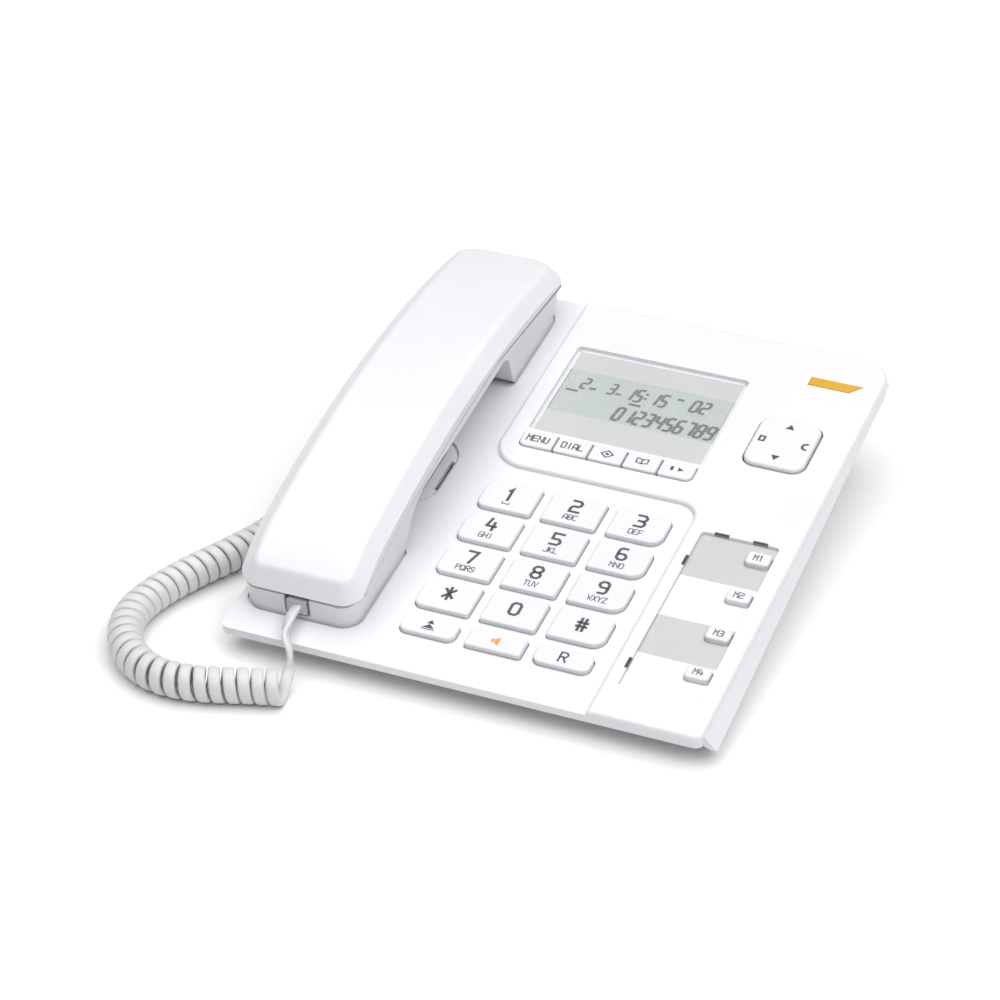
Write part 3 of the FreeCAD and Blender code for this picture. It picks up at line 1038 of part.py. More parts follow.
def main():
    make_top_cover()
    make_bottom_cover()
    make_keys()
    make_nav_key()
    make_display()
    make_memory_strip()
    make_light()
    make_boards()
    make_jacks()
    make_hook()
    make_fasteners()
    make_handset_upper_shell()
    make_handset_lower_shell()
    make_handset_inside()
    handset_place, base_place = plug_places()
    make_socket("handset_jack", handset_place)
    make_plug("handset_plug", handset_place)
    make_socket("base_cord_jack", base_place)
    make_plug("base_plug", base_place)
    make_cord(handset_place, base_place)
    doc.recompute()
    failed = [item.Label for item in doc.Objects if "Invalid" in item.State or "Error" in item.State]
    failed += [label for label, piece in NODES.items() if piece.Shape.isNull() or not piece.Shape.isValid()]
    if failed:
        raise RuntimeError("failed: " + ", ".join(failed))
    os.makedirs("parts", exist_ok=True)
    for label, piece in NODES.items():
        piece.Shape.exportStep(f"parts/{label}.step")
    print(len(NODES), "nodes written")


main()
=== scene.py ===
import bpy
import bmesh
import math
from mathutils import Matrix, Vector


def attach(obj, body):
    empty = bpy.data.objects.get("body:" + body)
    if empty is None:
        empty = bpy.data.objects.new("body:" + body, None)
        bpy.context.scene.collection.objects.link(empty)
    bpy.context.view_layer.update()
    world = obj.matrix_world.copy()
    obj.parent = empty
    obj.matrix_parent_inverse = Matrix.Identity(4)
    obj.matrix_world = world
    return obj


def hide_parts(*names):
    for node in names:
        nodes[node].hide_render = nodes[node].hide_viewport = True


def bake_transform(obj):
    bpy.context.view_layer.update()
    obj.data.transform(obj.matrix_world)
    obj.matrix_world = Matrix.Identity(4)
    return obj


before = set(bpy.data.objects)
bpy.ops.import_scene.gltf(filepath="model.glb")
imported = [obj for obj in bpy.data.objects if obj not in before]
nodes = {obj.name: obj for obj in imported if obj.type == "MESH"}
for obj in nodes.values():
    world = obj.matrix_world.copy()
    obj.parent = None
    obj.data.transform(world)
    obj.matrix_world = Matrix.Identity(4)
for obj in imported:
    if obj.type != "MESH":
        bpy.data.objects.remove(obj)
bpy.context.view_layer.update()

scene = bpy.context.scene

# The phone's sizes are in millimetres.
# On the sloping deck x runs from its middle, v from its front edge and h square to it.
perMetre = 1000
view = {"place": (391.075, -895.976, 703.470), "turn": 22.662, "rise": 32.748, "lens": 126.0,
        "sensor": 36.0, "farthest": 20}
deck = {"tilt": 8.0, "middle": 2.3, "depth": 215.0, "lip": 3.2, "frontHeight": 11.0}
deck["slope"] = math.radians(deck["tilt"])
deck["frontEdge"] = -(deck["depth"] * math.cos(deck["slope"]) + deck["lip"] * math.sin(deck["slope"])) / 2
deckOrigin = Vector((-deck["middle"], deck["frontEdge"], deck["frontHeight"])) / perMetre
deckTurn = Matrix.Rotation(deck["slope"], 4, "X")
deckMatrix = Matrix.Translation(deckOrigin) @ deckTurn @ Matrix.Scale(1 / perMetre, 4)


def onDeck(x, v, h):
    return deckMatrix @ Vector((x, v, h))


def onTable(x, y, z):
    return Vector((x - deck["middle"], y + deck["frontEdge"], z)) / perMetre


def addObject(name, data):
    thing = bpy.data.objects.new(name, data)
    scene.collection.objects.link(thing)
    return thing


def addPiece(name, mesh, body, material):
    piece = addObject(name, mesh)
    mesh.materials.append(material)
    if body:
        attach(piece, body)
    return piece


def meshOf(name, points, faces):
    mesh = bpy.data.meshes.new(name)
    mesh.from_pydata(points, [], faces)
    mesh.update()
    return mesh


# Shared effects

noiseMiddle = (0.3, 0.7)
# Places of a mix node's colour sockets, whose names its other kinds share.
colorSockets = {"first": 6, "second": 7, "result": 2}
skinNoise = {"driftScale": 22.0, "driftDetail": 3.0, "smearScale": 160.0, "smearDetail": 5.0,
             "grainDetail": 4.0, "grainDepth": 0.0001}


def newGroup(name, inputs, outputs):
    group = bpy.data.node_groups.new(name, "ShaderNodeTree")
    for label, kind, value in inputs:
        socket = group.interface.new_socket(label, in_out="INPUT", socket_type=kind)
        socket.default_value = value
    for label, kind in outputs:
        group.interface.new_socket(label, in_out="OUTPUT", socket_type=kind)
    return group, group.nodes.new("NodeGroupInput"), group.nodes.new("NodeGroupOutput")


def feed(tree, socket, value):
    # Links a node's output to the socket, or sets a plain value on it.
    if hasattr(value, "is_linked"):
        tree.links.new(value, socket)
    else:
        socket.default_value = value


def noiseNode(tree, coords, scale, detail):
    noise = tree.nodes.new("ShaderNodeTexNoise")
    noise.inputs["Detail"].default_value = detail
    tree.links.new(coords, noise.inputs["Vector"])
    feed(tree, noise.inputs["Scale"], scale)
    return noise.outputs["Fac"]


def rangeNode(tree, value, low, high):
    # Spreads the middle of a noise from low to high.
    remap = tree.nodes.new("ShaderNodeMapRange")
    remap.inputs["From Min"].default_value = noiseMiddle[0]
    remap.inputs["From Max"].default_value = noiseMiddle[1]
    tree.links.new(value, remap.inputs["Value"])
    feed(tree, remap.inputs["To Min"], low)
    feed(tree, remap.inputs["To Max"], high)
    return remap.outputs["Result"]


def mixNode(tree, factor, first, second, blend="MIX"):
    mix = tree.nodes.new("ShaderNodeMix")
    mix.data_type = "RGBA"
    mix.blend_type = blend
    feed(tree, mix.inputs["Factor"], factor)
    feed(tree, mix.inputs[colorSockets["first"]], first)
    feed(tree, mix.inputs[colorSockets["second"]], second)
    return mix.outputs[colorSockets["result"]]


def makeMouldSkin():
    # Moulded plastic: slow colour drift, uneven gloss and a fine texture.
    inputs = [("Color", "NodeSocketColor", (0.8, 0.8, 0.8, 1)),
              ("Drift Color", "NodeSocketColor", (0.7, 0.7, 0.7, 1)),
              ("Gloss Low", "NodeSocketFloat", 0.3),
              ("Gloss High", "NodeSocketFloat", 0.4),
              ("Grain Scale", "NodeSocketFloat", 1500.0)]
    outputs = [("Color", "NodeSocketColor"), ("Roughness", "NodeSocketFloat"), ("Height", "NodeSocketFloat")]
    group, given, result = newGroup("mouldSkin", inputs, outputs)
    coords = group.nodes.new("ShaderNodeTexCoord").outputs["Object"]
    drift = noiseNode(group, coords, skinNoise["driftScale"], skinNoise["driftDetail"])
    drift = rangeNode(group, drift, 0.0, 1.0)
    smear = noiseNode(group, coords, skinNoise["smearScale"], skinNoise["smearDetail"])
    smear = rangeNode(group, smear, given.outputs["Gloss Low"], given.outputs["Gloss High"])
    grain = noiseNode(group, coords, given.outputs["Grain Scale"], skinNoise["grainDetail"])
    color = mixNode(group, drift, given.outputs["Color"], given.outputs["Drift Color"])
    group.links.new(color, result.inputs["Color"])
    group.links.new(smear, result.inputs["Roughness"])
    group.links.new(grain, result.inputs["Height"])
    return group


mouldSkin = makeMouldSkin()


def newMaterial(name):
    material = bpy.data.materials.new(name)
    material.use_nodes = True
    return material, material.node_tree, material.node_tree.nodes["Principled BSDF"]


def addSkin(tree, values):
    skin = tree.nodes.new("ShaderNodeGroup")
    skin.node_tree = mouldSkin
    for label, value in values.items():
        skin.inputs[label].default_value = value
    return skin


def moulded(name, look):
    material, tree, shader = newMaterial(name)
    skin = addSkin(tree, {"Color": (*look["color"], 1), "Drift Color": (*look["drift"], 1),
                          "Gloss Low": look["gloss"][0], "Gloss High": look["gloss"][1],
                          "Grain Scale": look["grain"]})
    tree.links.new(skin.outputs["Color"], shader.inputs["Base Color"])
    tree.links.new(skin.outputs["Roughness"], shader.inputs["Roughness"])
    bump = tree.nodes.new("ShaderNodeBump")
    bump.inputs["Strength"].default_value = look["bump"]
    bump.inputs["Distance"].default_value = skinNoise["grainDepth"]
    tree.links.new(skin.outputs["Height"], bump.inputs["Height"])
    tree.links.new(bump.outputs["Normal"], shader.inputs["Normal"])
    for label, value in look.get("shader", {}).items():
        shader.inputs[label].default_value = value
    return material


finishes = {
    "whiteShell": {"color": (0.74, 0.74, 0.765), "drift": (0.72, 0.72, 0.75), "gloss": (0.3, 0.38),
                   "grain": 2600, "bump": 0.05, "shader": {"Coat Weight": 0.15, "Coat Roughness": 0.25}},
    "whiteKey": {"color": (0.72, 0.72, 0.74), "drift": (0.70, 0.70, 0.725), "gloss": (0.32, 0.42),
                 "grain": 3200, "bump": 0.08},
    "greyBase": {"color": (0.72, 0.72, 0.75), "drift": (0.67, 0.67, 0.70), "gloss": (0.45, 0.6),
                 "grain": 1400, "bump": 0.35},
    "blackPart": {"color": (0.03, 0.03, 0.033), "drift": (0.05, 0.05, 0.052), "gloss": (0.4, 0.55),
                  "grain": 1800, "bump": 0.2},
    "plugClear": {"color": (0.82, 0.85, 0.88), "drift": (0.76, 0.79, 0.83), "gloss": (0.12, 0.2),
                  "grain": 900, "bump": 0.05, "shader": {"Transmission Weight": 0.35}},
    "amberLens": {"color": (0.70, 0.36, 0.03), "drift": (0.74, 0.41, 0.05), "gloss": (0.15, 0.22),
                  "grain": 800, "bump": 0.05, "shader": {"Subsurface Weight": 0.15}},
    "siliconeMat": {"color": (0.50, 0.50, 0.48), "drift": (0.44, 0.44, 0.42), "gloss": (0.55, 0.7),
                    "grain": 1500, "bump": 0.2},
    "footRubber": {"color": (0.05, 0.05, 0.05), "drift": (0.08, 0.08, 0.08), "gloss": (0.7, 0.85),
                   "grain": 1200, "bump": 0.4},
    "greenBoard": {"color": (0.03, 0.17, 0.07), "drift": (0.05, 0.22, 0.10), "gloss": (0.3, 0.45),
                   "grain": 600, "bump": 0.3},
    "platedSteel": {"color": (0.58, 0.58, 0.59), "drift": (0.50, 0.50, 0.52), "gloss": (0.25, 0.4),
                    "grain": 900, "bump": 0.15, "shader": {"Metallic": 1.0}},
    "speakerCan": {"color": (0.12, 0.12, 0.13), "drift": (0.16, 0.16, 0.17), "gloss": (0.35, 0.5),
                   "grain": 700, "bump": 0.2, "shader": {"Metallic": 0.6}},
    "cordJacket": {"color": (0.66, 0.66, 0.665), "drift": (0.61, 0.61, 0.62), "gloss": (0.35, 0.5),
                   "grain": 1800, "bump": 0.15},
    "printInk": {"color": (0.06, 0.06, 0.07), "drift": (0.10, 0.10, 0.11), "gloss": (0.45, 0.6),
                 "grain": 2500, "bump": 0.05},
    # Colour of the painted shadow strip under the handset's upper shell.
    "paintedSeamShadow": {"color": (0.22, 0.22, 0.24), "drift": (0.28, 0.28, 0.30), "gloss": (0.5, 0.6),
                  "grain": 2000, "bump": 0.05},
    "amberInk": {"color": (0.80, 0.34, 0.02), "drift": (0.74, 0.29, 0.02), "gloss": (0.4, 0.5),
                 "grain": 2500, "bump": 0.05},
    "displayBorder": {"color": (0.51, 0.51, 0.515), "drift": (0.48, 0.48, 0.485), "gloss": (0.3, 0.4),
                      "grain": 1500, "bump": 0.05},
    "lcdGlass": {"color": (0.42, 0.475, 0.46), "drift": (0.395, 0.445, 0.43), "gloss": (0.2, 0.3),
                 "grain": 2000, "bump": 0.03},
    "lcdSegment": {"color": (0.045, 0.055, 0.05), "drift": (0.07, 0.08, 0.075), "gloss": (0.3, 0.4),
                   "grain": 2000, "bump": 0.03},
    "ledBody": {"color": (0.75, 0.62, 0.25), "drift": (0.68, 0.55, 0.20), "gloss": (0.15, 0.25),
                "grain": 700, "bump": 0.05},
}
finish = {name: moulded(name, look) for name, look in finishes.items()}

pane = {"color": (0.95, 0.96, 0.96, 1), "alpha": 0.07, "gloss": (0.05, 0.14)}


def makeClearPane():
    # Clear plastic: mostly see-through, with gloss and faint smears.
    material, tree, shader = newMaterial("clearPane")
    skin = addSkin(tree, {"Gloss Low": pane["gloss"][0], "Gloss High": pane["gloss"][1]})
    tree.links.new(skin.outputs["Roughness"], shader.inputs["Roughness"])
    shader.inputs["Base Color"].default_value = pane["color"]
    shader.inputs["Alpha"].default_value = pane["alpha"]
    return material


card = {"front": 15.4, "back": 100.6, "height": 0.8, "bandStarts": (0.224, 0.465, 0.725),
        "light": (0.80, 0.80, 0.81, 1), "dark": (0.50, 0.50, 0.505, 1),
        "fibreScale": 900.0, "fibreDetail": 6.0, "fibreShare": 0.06, "roughness": 0.75}


def makeBandedCard():
    # Printed card: grey and white bands across the strip, with a faint fibre.
    material, tree, shader = newMaterial("bandedCard")
    coords = tree.nodes.new("ShaderNodeTexCoord").outputs["Object"]
    parts = tree.nodes.new("ShaderNodeSeparateXYZ")
    tree.links.new(coords, parts.inputs["Vector"])
    remap = tree.nodes.new("ShaderNodeMapRange")
    remap.inputs["From Min"].default_value = onDeck(0, card["front"], card["height"]).y
    remap.inputs["From Max"].default_value = onDeck(0, card["back"], card["height"]).y
    tree.links.new(parts.outputs["Y"], remap.inputs["Value"])
    ramp = tree.nodes.new("ShaderNodeValToRGB")
    tree.links.new(remap.outputs["Result"], ramp.inputs["Fac"])
    bands = ramp.color_ramp
    bands.interpolation = "CONSTANT"
    firstDark, secondLight, secondDark = card["bandStarts"]
    bands.elements[0].color = card["light"]
    bands.elements[1].position = firstDark
    bands.elements[1].color = card["dark"]
    bands.elements.new(secondLight).color = card["light"]
    bands.elements.new(secondDark).color = card["dark"]
    fibre = rangeNode(tree, noiseNode(tree, coords, card["fibreScale"], card["fibreDetail"]), 0.0, 1.0)
    color = mixNode(tree, card["fibreShare"], ramp.outputs["Color"], fibre, "MULTIPLY")
    tree.links.new(color, shader.inputs["Base Color"])
    shader.inputs["Roughness"].default_value = card["roughness"]
    return material


clearPane = makeClearPane()
bandedCard = makeBandedCard()
print("materials ready")

# Finishes of the parts that keep their own shape

numberKeys = [f"key_{digit}" for digit in range(10)]
otherKeys = ["key_star", "key_hash", "key_redial", "key_speaker", "key_recall", "nav_key"]
softKeys = [f"soft_key_{number}" for number in range(1, 6)]
memoryKeys = [f"memory_key_{number}" for number in range(1, 5)]
partFinish = {
    "whiteShell": ["top_cover", "handset_upper_shell", "handset_lower_shell"],
    "whiteKey": numberKeys + otherKeys + softKeys + memoryKeys,
    "greyBase": ["bottom_cover", "hook_plunger", "lcd_frame"],
    "blackPart": ["line_jack", "base_cord_jack", "handset_jack", "hook_switch", "handset_microphone",
                  "handsfree_microphone"],
    "plugClear": ["handset_plug", "base_plug"],
    "lcdGlass": ["lcd_panel"],
    "amberLens": ["ring_light_lens"],
    "ledBody": ["ring_light_led"],
    "siliconeMat": ["keypad_mat", "nav_hub"],
    "footRubber": ["rubber_feet"],
    "greenBoard": ["main_board", "line_board"],
    "platedSteel": ["cover_screws", "handset_screws", "base_weight", "handset_weight"],
    "speakerCan": ["loudspeaker", "handset_receiver"],
}


def dressPart(name, material):
    part = nodes[name]
    part.data.materials.clear()
    part.data.materials.append(material)


for label, names in partFinish.items():
    for name in names:
        dressPart(name, finish[label])
for name in ("display_window", "memory_window"):
    dressPart(name, clearPane)
dressPart("memory_card", bandedCard)
print("parts dressed")

# Curly cord

cord = {"width": 4.3, "thickness": 2.1, "edgePoints": 6, "coilOutside": 13.0, "turns": 34.625,
        "pointsPerTurn": 16, "firstAngle": -45, "lift": 0.1, "routeSteps": 24, "lineSteps": 3,
        "route": [(-56.5, -20), (-66, -22.7), (-78, -27.2), (-90.5, -30.4), (-104.6, -29), (-118, -19),
                  (-125.3, -4), (-124.6, 12), (-118, 31), (-109.6, 48), (-103.6, 62), (-100.9, 73.4),
                  (-100.4, 83.6)],
        "handsetEnd": (-65.5, 12.9, 5.0), "handsetLead": [(-64, -1.5, 15.2), (-59.2, -6.7, 12.9)],
        "baseEnd": (-80.6, 84, -13.4), "plugRun": 6.0, "entryShare": 1.5, "leaveShare": 1.3,
        "blendStart": (-90, -40, 10), "blendEnd": (-66, 6, 16)}


def smoothLine(points, steps):
    # Points read from a smooth spline that has these control points.
    curve = bpy.data.curves.new("route", "CURVE")
    curve.dimensions = "3D"
    curve.resolution_u = steps
    spline = curve.splines.new("NURBS")
    spline.points.add(len(points) - 1)
    for point, place in zip(spline.points, points):
        point.co = (*place, 1)
    spline.order_u = 3
    spline.use_endpoint_u = True
    holder = addObject("route", curve)
    mesh = bpy.data.meshes.new_from_object(holder)
    line = [vertex.co.copy() for vertex in mesh.vertices]
    bpy.data.objects.remove(holder)
    bpy.data.curves.remove(curve)
    bpy.data.meshes.remove(mesh)
    return line


def walk(line):
    # A function that gives the point and direction at a share of the line's length, and that length.
    lengths = [0.0]
    for here, there in zip(line, line[1:]):
        lengths.append(lengths[-1] + (there - here).length)

    def at(share):
        goal = min(max(share, 0.0), 1.0) * lengths[-1]
        index = 1
        while index < len(lengths) - 1 and lengths[index] < goal:
            index += 1
        span = lengths[index] - lengths[index - 1]
        part = (goal - lengths[index - 1]) / span
        way = (line[index] - line[index - 1]).normalized()
        return line[index - 1].lerp(line[index], part), way

    return at, lengths[-1]


def sweepBand(name, line, sides, width, thickness, edgePoints):
    # A flat band with rounded edges along the line; sides holds its width direction at each point.
    radius = thickness / 2
    half = width / 2 - radius
    profile = []
    for shift, firstShare in ((half, -0.5), (-half, 0.5)):
        for corner in range(edgePoints):
            angle = math.pi * (corner / (edgePoints - 1) + firstShare)
            profile.append((shift + radius * math.cos(angle), radius * math.sin(angle)))
    points, faces = [], []
    count = len(profile)
    for index, here in enumerate(line):
        before, after = line[max(index - 1, 0)], line[min(index + 1, len(line) - 1)]
        way = (after - before).normalized()
        side = (sides[index] - way * sides[index].dot(way)).normalized()
        face = way.cross(side)
        points += [here + side * across + face * out for across, out in profile]
        if index:
            old, new = (index - 1) * count, index * count
            for corner in range(count):
                following = (corner + 1) % count
                faces.append((old + corner, old + following, new + following, new + corner))
    faces.append(tuple(range(count)))
    faces.append(tuple(reversed(range(len(points) - count, len(points)))))
    mesh = meshOf(name, points, faces)
    mesh.shade_smooth()
    return mesh


def curlPoints(at):
    # Points around the coil's middle line, and the band's width direction at each.
    radius = (cord["coilOutside"] - cord["thickness"]) / 2 / perMetre
    up = Vector((0, 0, 1))
    curls, sides = [], []
    count = round(cord["turns"] * cord["pointsPerTurn"])
    for number in range(count + 1):
        turn = cord["turns"] * number / count
        place, way = at(turn / cord["turns"])
        side = way.cross(up).normalized()
        angle = math.radians(cord["firstAngle"]) - 2 * math.pi * turn
        curls.append(place + (side * math.cos(angle) + up * math.sin(angle)) * radius)
        sides.append(way)
    return curls, sides


def spreadSides(controlSides, count):
    # Width directions for this many points, from those at the control points.
    last = len(controlSides) - 1
    sides = []
    for index in range(count):
        spot = index / (count - 1) * last
        low = min(int(spot), last - 1)
        sides.append(controlSides[low].lerp(controlSides[low + 1], spot - low))
    return sides


def makeCord():
    height = cord["coilOutside"] / 2 + cord["lift"]
    at, coilLength = walk(smoothLine([onTable(x, y, height) for x, y in cord["route"]], cord["routeSteps"]))
    curls, curlSides = curlPoints(at)
    run = cord["plugRun"]
    x, v, h = cord["handsetEnd"]
    entryWay = (curls[1] - curls[0]).normalized()
    entry = curls[0] - entryWay * run * (cord["entryShare"] / perMetre)
    lead = [onTable(*spot) for spot in cord["handsetLead"]]
    start = [onDeck(x, v, h), onDeck(x, v - run, h), *lead, entry]
    x, v, h = cord["baseEnd"]
    leaveWay = (curls[-1] - curls[-2]).normalized()
    leave = curls[-1] + leaveWay * run * (cord["leaveShare"] / perMetre)
    end = [leave, onDeck(x - run, v, h), onDeck(x, v, h)]
    # The lead's wide direction points to the front, turned like the photo's view.
    turn = math.radians(view["turn"])
    ahead = Vector((math.sin(turn), -math.cos(turn), 0))
    controlSides = [ahead] * (len(start) - 1) + [curlSides[0]] + curlSides + [curlSides[-1]] * len(end)
    line = smoothLine(start + curls + end, cord["lineSteps"])
    mesh = sweepBand("curlyCord", line, spreadSides(controlSides, len(line)), cord["width"] / perMetre,
                     cord["thickness"] / perMetre, cord["edgePoints"])
    piece = addPiece("curlyCord", mesh, None, finish["cordJacket"])
    length = walk(line)[1]
    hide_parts("handset_lead", "cord_coil", "base_lead")
    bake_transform(piece)
    print("curly cord", round(length, 3), "m, coil", round(coilLength, 4), "m along its middle")


makeCord()

# Printed marks. A letter's strokes, parted by slashes, are grid points: one digit across, one digit up.

glyphGrid = {"wide": 4, "high": 6, "spacing": 1.35, "mitreLimit": 0.35}
glyphs = {
    "0": "01 05 16 36 45 41 30 10 01", "1": "15 26 20", "2": "06 36 45 44 33 13 02 00 40",
    "3": "06 36 45 44 33 13/33 42 41 30 00", "4": "16 02 42/34 30", "5": "46 06 03 33 42 41 30 00",
    "6": "36 16 05 01 10 30 41 42 33 03", "7": "06 46 20",
    "8": "13 04 05 16 36 45 44 33 13 02 01 10 30 41 42 33", "9": "43 13 04 05 16 36 45 41 30 10",
    "A": "00 04 16 36 44 40/02 42", "B": "00 06 36 45 44 33 03/33 42 41 30 00", "C": "46 16 05 01 10 40",
    "D": "00 06 36 45 41 30 00", "E": "46 06 00 40/03 33", "F": "46 06 00/03 33",
    "G": "46 16 05 01 10 40 43 23", "H": "06 00/46 40/03 43", "I": "26 20", "J": "46 41 30 10 01",
    "K": "06 00/46 03 40", "L": "06 00 40", "M": "00 06 23 46 40", "N": "00 06 40 46",
    "O": "01 05 16 36 45 41 30 10 01", "P": "00 06 36 45 44 33 03",
    "Q": "01 05 16 36 45 41 30 10 01/21 40", "R": "00 06 36 45 44 33 03/23 40",
    "S": "45 36 16 05 04 13 33 42 41 30 10 01", "T": "06 46/26 20", "U": "06 01 10 30 41 46",
    "V": "06 20 46", "W": "06 10 24 30 46", "X": "06 40/00 46", "Y": "06 23 46/23 20", "Z": "06 46 00 40",
    "*": "26 20/05 41/45 01", "#": "10 16/30 36/02 42/04 44",
}

# Signs are strokes with a width, or filled outlines with none, around their middle.
signs = {
    "cup": [(0.4, [(-1.3, 0.8), (-1.3, 0), (1.3, 0), (1.3, 0.8)])],
    "redial": [(None, [(-1.4, 0.7), (1.4, 0.7), (0, 2.7)]),
               (None, [(-2.3, -1.6), (2.3, -1.6), (0, 0.5)]),
               (0.4, [(-2.3, -2.2), (2.3, -2.2)])],
    "horn": [(None, [(-1.9, -0.8), (-0.8, -0.8), (-0.8, 0.8), (-1.9, 0.8)]),
             (None, [(-0.6, -0.9), (1.2, -2.1), (1.2, 2.1), (-0.6, 0.9)])],
    "rhomb": [(0.55, [(-2.3, 0), (0, -2.0), (2.3, 0), (0, 2.0), (-2.3, 0)]),
              (None, [(-0.9, 0), (0, -0.8), (0.9, 0), (0, 0.8)])],
    "book": [(0.5, [(0, -1.2), (0, 1.2), (-2.2, 1.7), (-2.2, -0.7), (0, -1.2)]),
             (0.5, [(0, -1.2), (0, 1.2), (2.2, 1.7), (2.2, -0.7), (0, -1.2)])],
    "pair": [(None, [(-2.6, -1.0), (-1.4, -1.0), (-1.4, 1.2), (-2.6, 1.2)]),
             (None, [(0.4, -1.1), (2.6, 0), (0.4, 1.1)])],
    "up": [(None, [(-1.7, -1.4), (1.7, -1.4), (0, 1.4)])],
    "down": [(None, [(-1.7, 1.4), (0, -1.4), (1.7, 1.4)])],
    "box": [(0.8, [(-0.9, -1.3), (0.9, -1.3), (0.9, 1.3), (-0.9, 1.3), (-0.9, -1.3)])],
    "hook": [(0.95, [(1.1, 1.6), (-0.1, 1.2), (-0.5, 0), (-0.1, -1.2), (1.1, -1.6)])],
}
printLift = 0.05


def strokeFaces(path, width):
    # One ribbon along a path of 2D points, with mitred corners.
    closed = path[0] == path[-1]
    if closed:
        path = path[:-1]
    count = len(path)
    pairs = []
    for index, here in enumerate(path):
        before = path[index - 1] if index or closed else None
        after = path[(index + 1) % count] if index < count - 1 or closed else None
        ways = []
        if before is not None:
            ways.append((here - before).normalized())
        if after is not None:
            ways.append((after - here).normalized())
        normal = sum((Vector((-way.y, way.x)) for way in ways), Vector((0, 0))).normalized()
        lean = normal.dot(Vector((-ways[0].y, ways[0].x)))
        reach = width / 2 / max(lean, glyphGrid["mitreLimit"])
        tip = Vector((0, 0))
        if before is None:
            tip = -ways[0] * width / 2
        if after is None:
            tip = ways[0] * width / 2
        pairs.append((here + normal * reach + tip, here - normal * reach + tip))
    quads = []
    for index in range(count if closed else count - 1):
        first, second = pairs[index], pairs[(index + 1) % count]
        quads.append([first[1], second[1], second[0], first[0]])
    return quads


def textFaces(text, x, v, style):
    # Strokes of a word centred on x and v.
    unit = style["height"] / glyphGrid["high"]
    wide = unit * style["squeeze"]
    step = glyphGrid["wide"] * wide * glyphGrid["spacing"]
    left = x - (len(text) - 1) * step / 2 - glyphGrid["wide"] / 2 * wide
    front = v - style["height"] / 2
    quads = []
    for index, letter in enumerate(text):
        start = left + index * step
        for stroke in glyphs[letter].split("/"):
            path = [Vector((start + int(across) * wide, front + int(up) * unit))
                    for across, up in stroke.split()]
            quads += strokeFaces(path, style["height"] * style["weight"])
    return quads


def signFaces(sign, x, v):
    quads = []
    for width, points in sign:
        placed = [(x + across, v + along) for across, along in points]
        quads += strokeFaces([Vector(point) for point in placed], width) if width else [placed]
    return quads


def rectangle(left, right, front, back):
    return [(left, front), (right, front), (right, back), (left, back)]


def addPrint(name, polygons, height, body, material, origin=(0, 0)):
    # Flat print just above a surface at this height of the deck.
    left, front = origin
    mesh = bmesh.new()
    for polygon in polygons:
        mesh.faces.new([mesh.verts.new(onDeck(left + x, front + v, height)) for x, v in polygon])
    bmesh.ops.recalc_face_normals(mesh, faces=mesh.faces)
    for face in mesh.faces:
        if face.normal.z < 0:
            face.normal_flip()
    data = bpy.data.meshes.new(name)
    mesh.to_mesh(data)
    mesh.free()
    addPiece(name, data, body, material)


keyGrid = {"left": -29.3, "front": 31.6, "width": 20.9, "columnPitch": 25.2, "rowPitch": 19.0, "top": 2.0,
           "shortFront": 17.8, "shortLength": 9.3,
           "digitLine": 9.9, "loneDigitLine": 8.4, "letterLine": 3.7, "cupLine": 3.1,
           "digit": {"height": 6.0, "weight": 0.19, "squeeze": 0.85},
           "letters": {"height": 2.6, "weight": 0.15, "squeeze": 0.8},
           "recall": {"height": 4.6, "weight": 0.16, "squeeze": 0.85}}
keyMarks = {"key_1": ("1", "", 0, 3), "key_2": ("2", "ABC", 1, 3), "key_3": ("3", "DEF", 2, 3),
            "key_4": ("4", "GHI", 0, 2), "key_5": ("5", "JKL", 1, 2), "key_6": ("6", "MNO", 2, 2),
            "key_7": ("7", "PQRS", 0, 1), "key_8": ("8", "TUV", 1, 1), "key_9": ("9", "WXYZ", 2, 1),
            "key_star": ("*", "", 0, 0), "key_0": ("0", "", 1, 0), "key_hash": ("#", "", 2, 0)}


def printKeys():
    top = keyGrid["top"] + printLift
    middle = keyGrid["width"] / 2
    for name, (digit, letters, column, row) in keyMarks.items():
        origin = (keyGrid["left"] + column * keyGrid["columnPitch"],
                  keyGrid["front"] + row * keyGrid["rowPitch"])
        line = keyGrid["digitLine"] if letters else keyGrid["loneDigitLine"]
        quads = textFaces(digit, middle, line, keyGrid["digit"])
        if letters:
            quads += textFaces(letters, middle, keyGrid["letterLine"], keyGrid["letters"])
        if digit == "1":
            quads += signFaces(signs["cup"], middle, keyGrid["cupLine"])
        addPrint(f"print_{name}", quads, top, name, finish["printInk"], origin)
    line = keyGrid["shortLength"] / 2
    shortMarks = [("key_redial", signFaces(signs["redial"], middle, line), "printInk", "white_key"),
                  ("key_speaker", signFaces(signs["horn"], middle, line), "amberInk", "amber_lens"),
                  ("key_recall", textFaces("R", middle, line, keyGrid["recall"]), "printInk", "white_key")]
    for column, (name, quads, ink, slot) in enumerate(shortMarks):
        origin = (keyGrid["left"] + column * keyGrid["columnPitch"], keyGrid["shortFront"])
        addPrint(f"print_{name}", quads, top, name, finish[ink], origin)


softStrip = {"left": -27.3, "front": 124.6, "pitch": 13.7, "width": 13.0, "length": 8.6, "top": 3.1,
             "word": {"height": 3.1, "weight": 0.17, "squeeze": 0.8}}


def printSoftKeys():
    middle, line = softStrip["width"] / 2, softStrip["length"] / 2
    marks = [textFaces(word, middle, line, softStrip["word"]) for word in ("MENU", "DIAL")]
    marks += [signFaces(signs[name], middle, line) for name in ("rhomb", "book", "pair")]
    for number, quads in enumerate(marks):
        origin = (softStrip["left"] + number * softStrip["pitch"], softStrip["front"])
        addPrint(f"print_soft_key_{number + 1}", quads, softStrip["top"] + printLift,
                 f"soft_key_{number + 1}", finish["printInk"], origin)


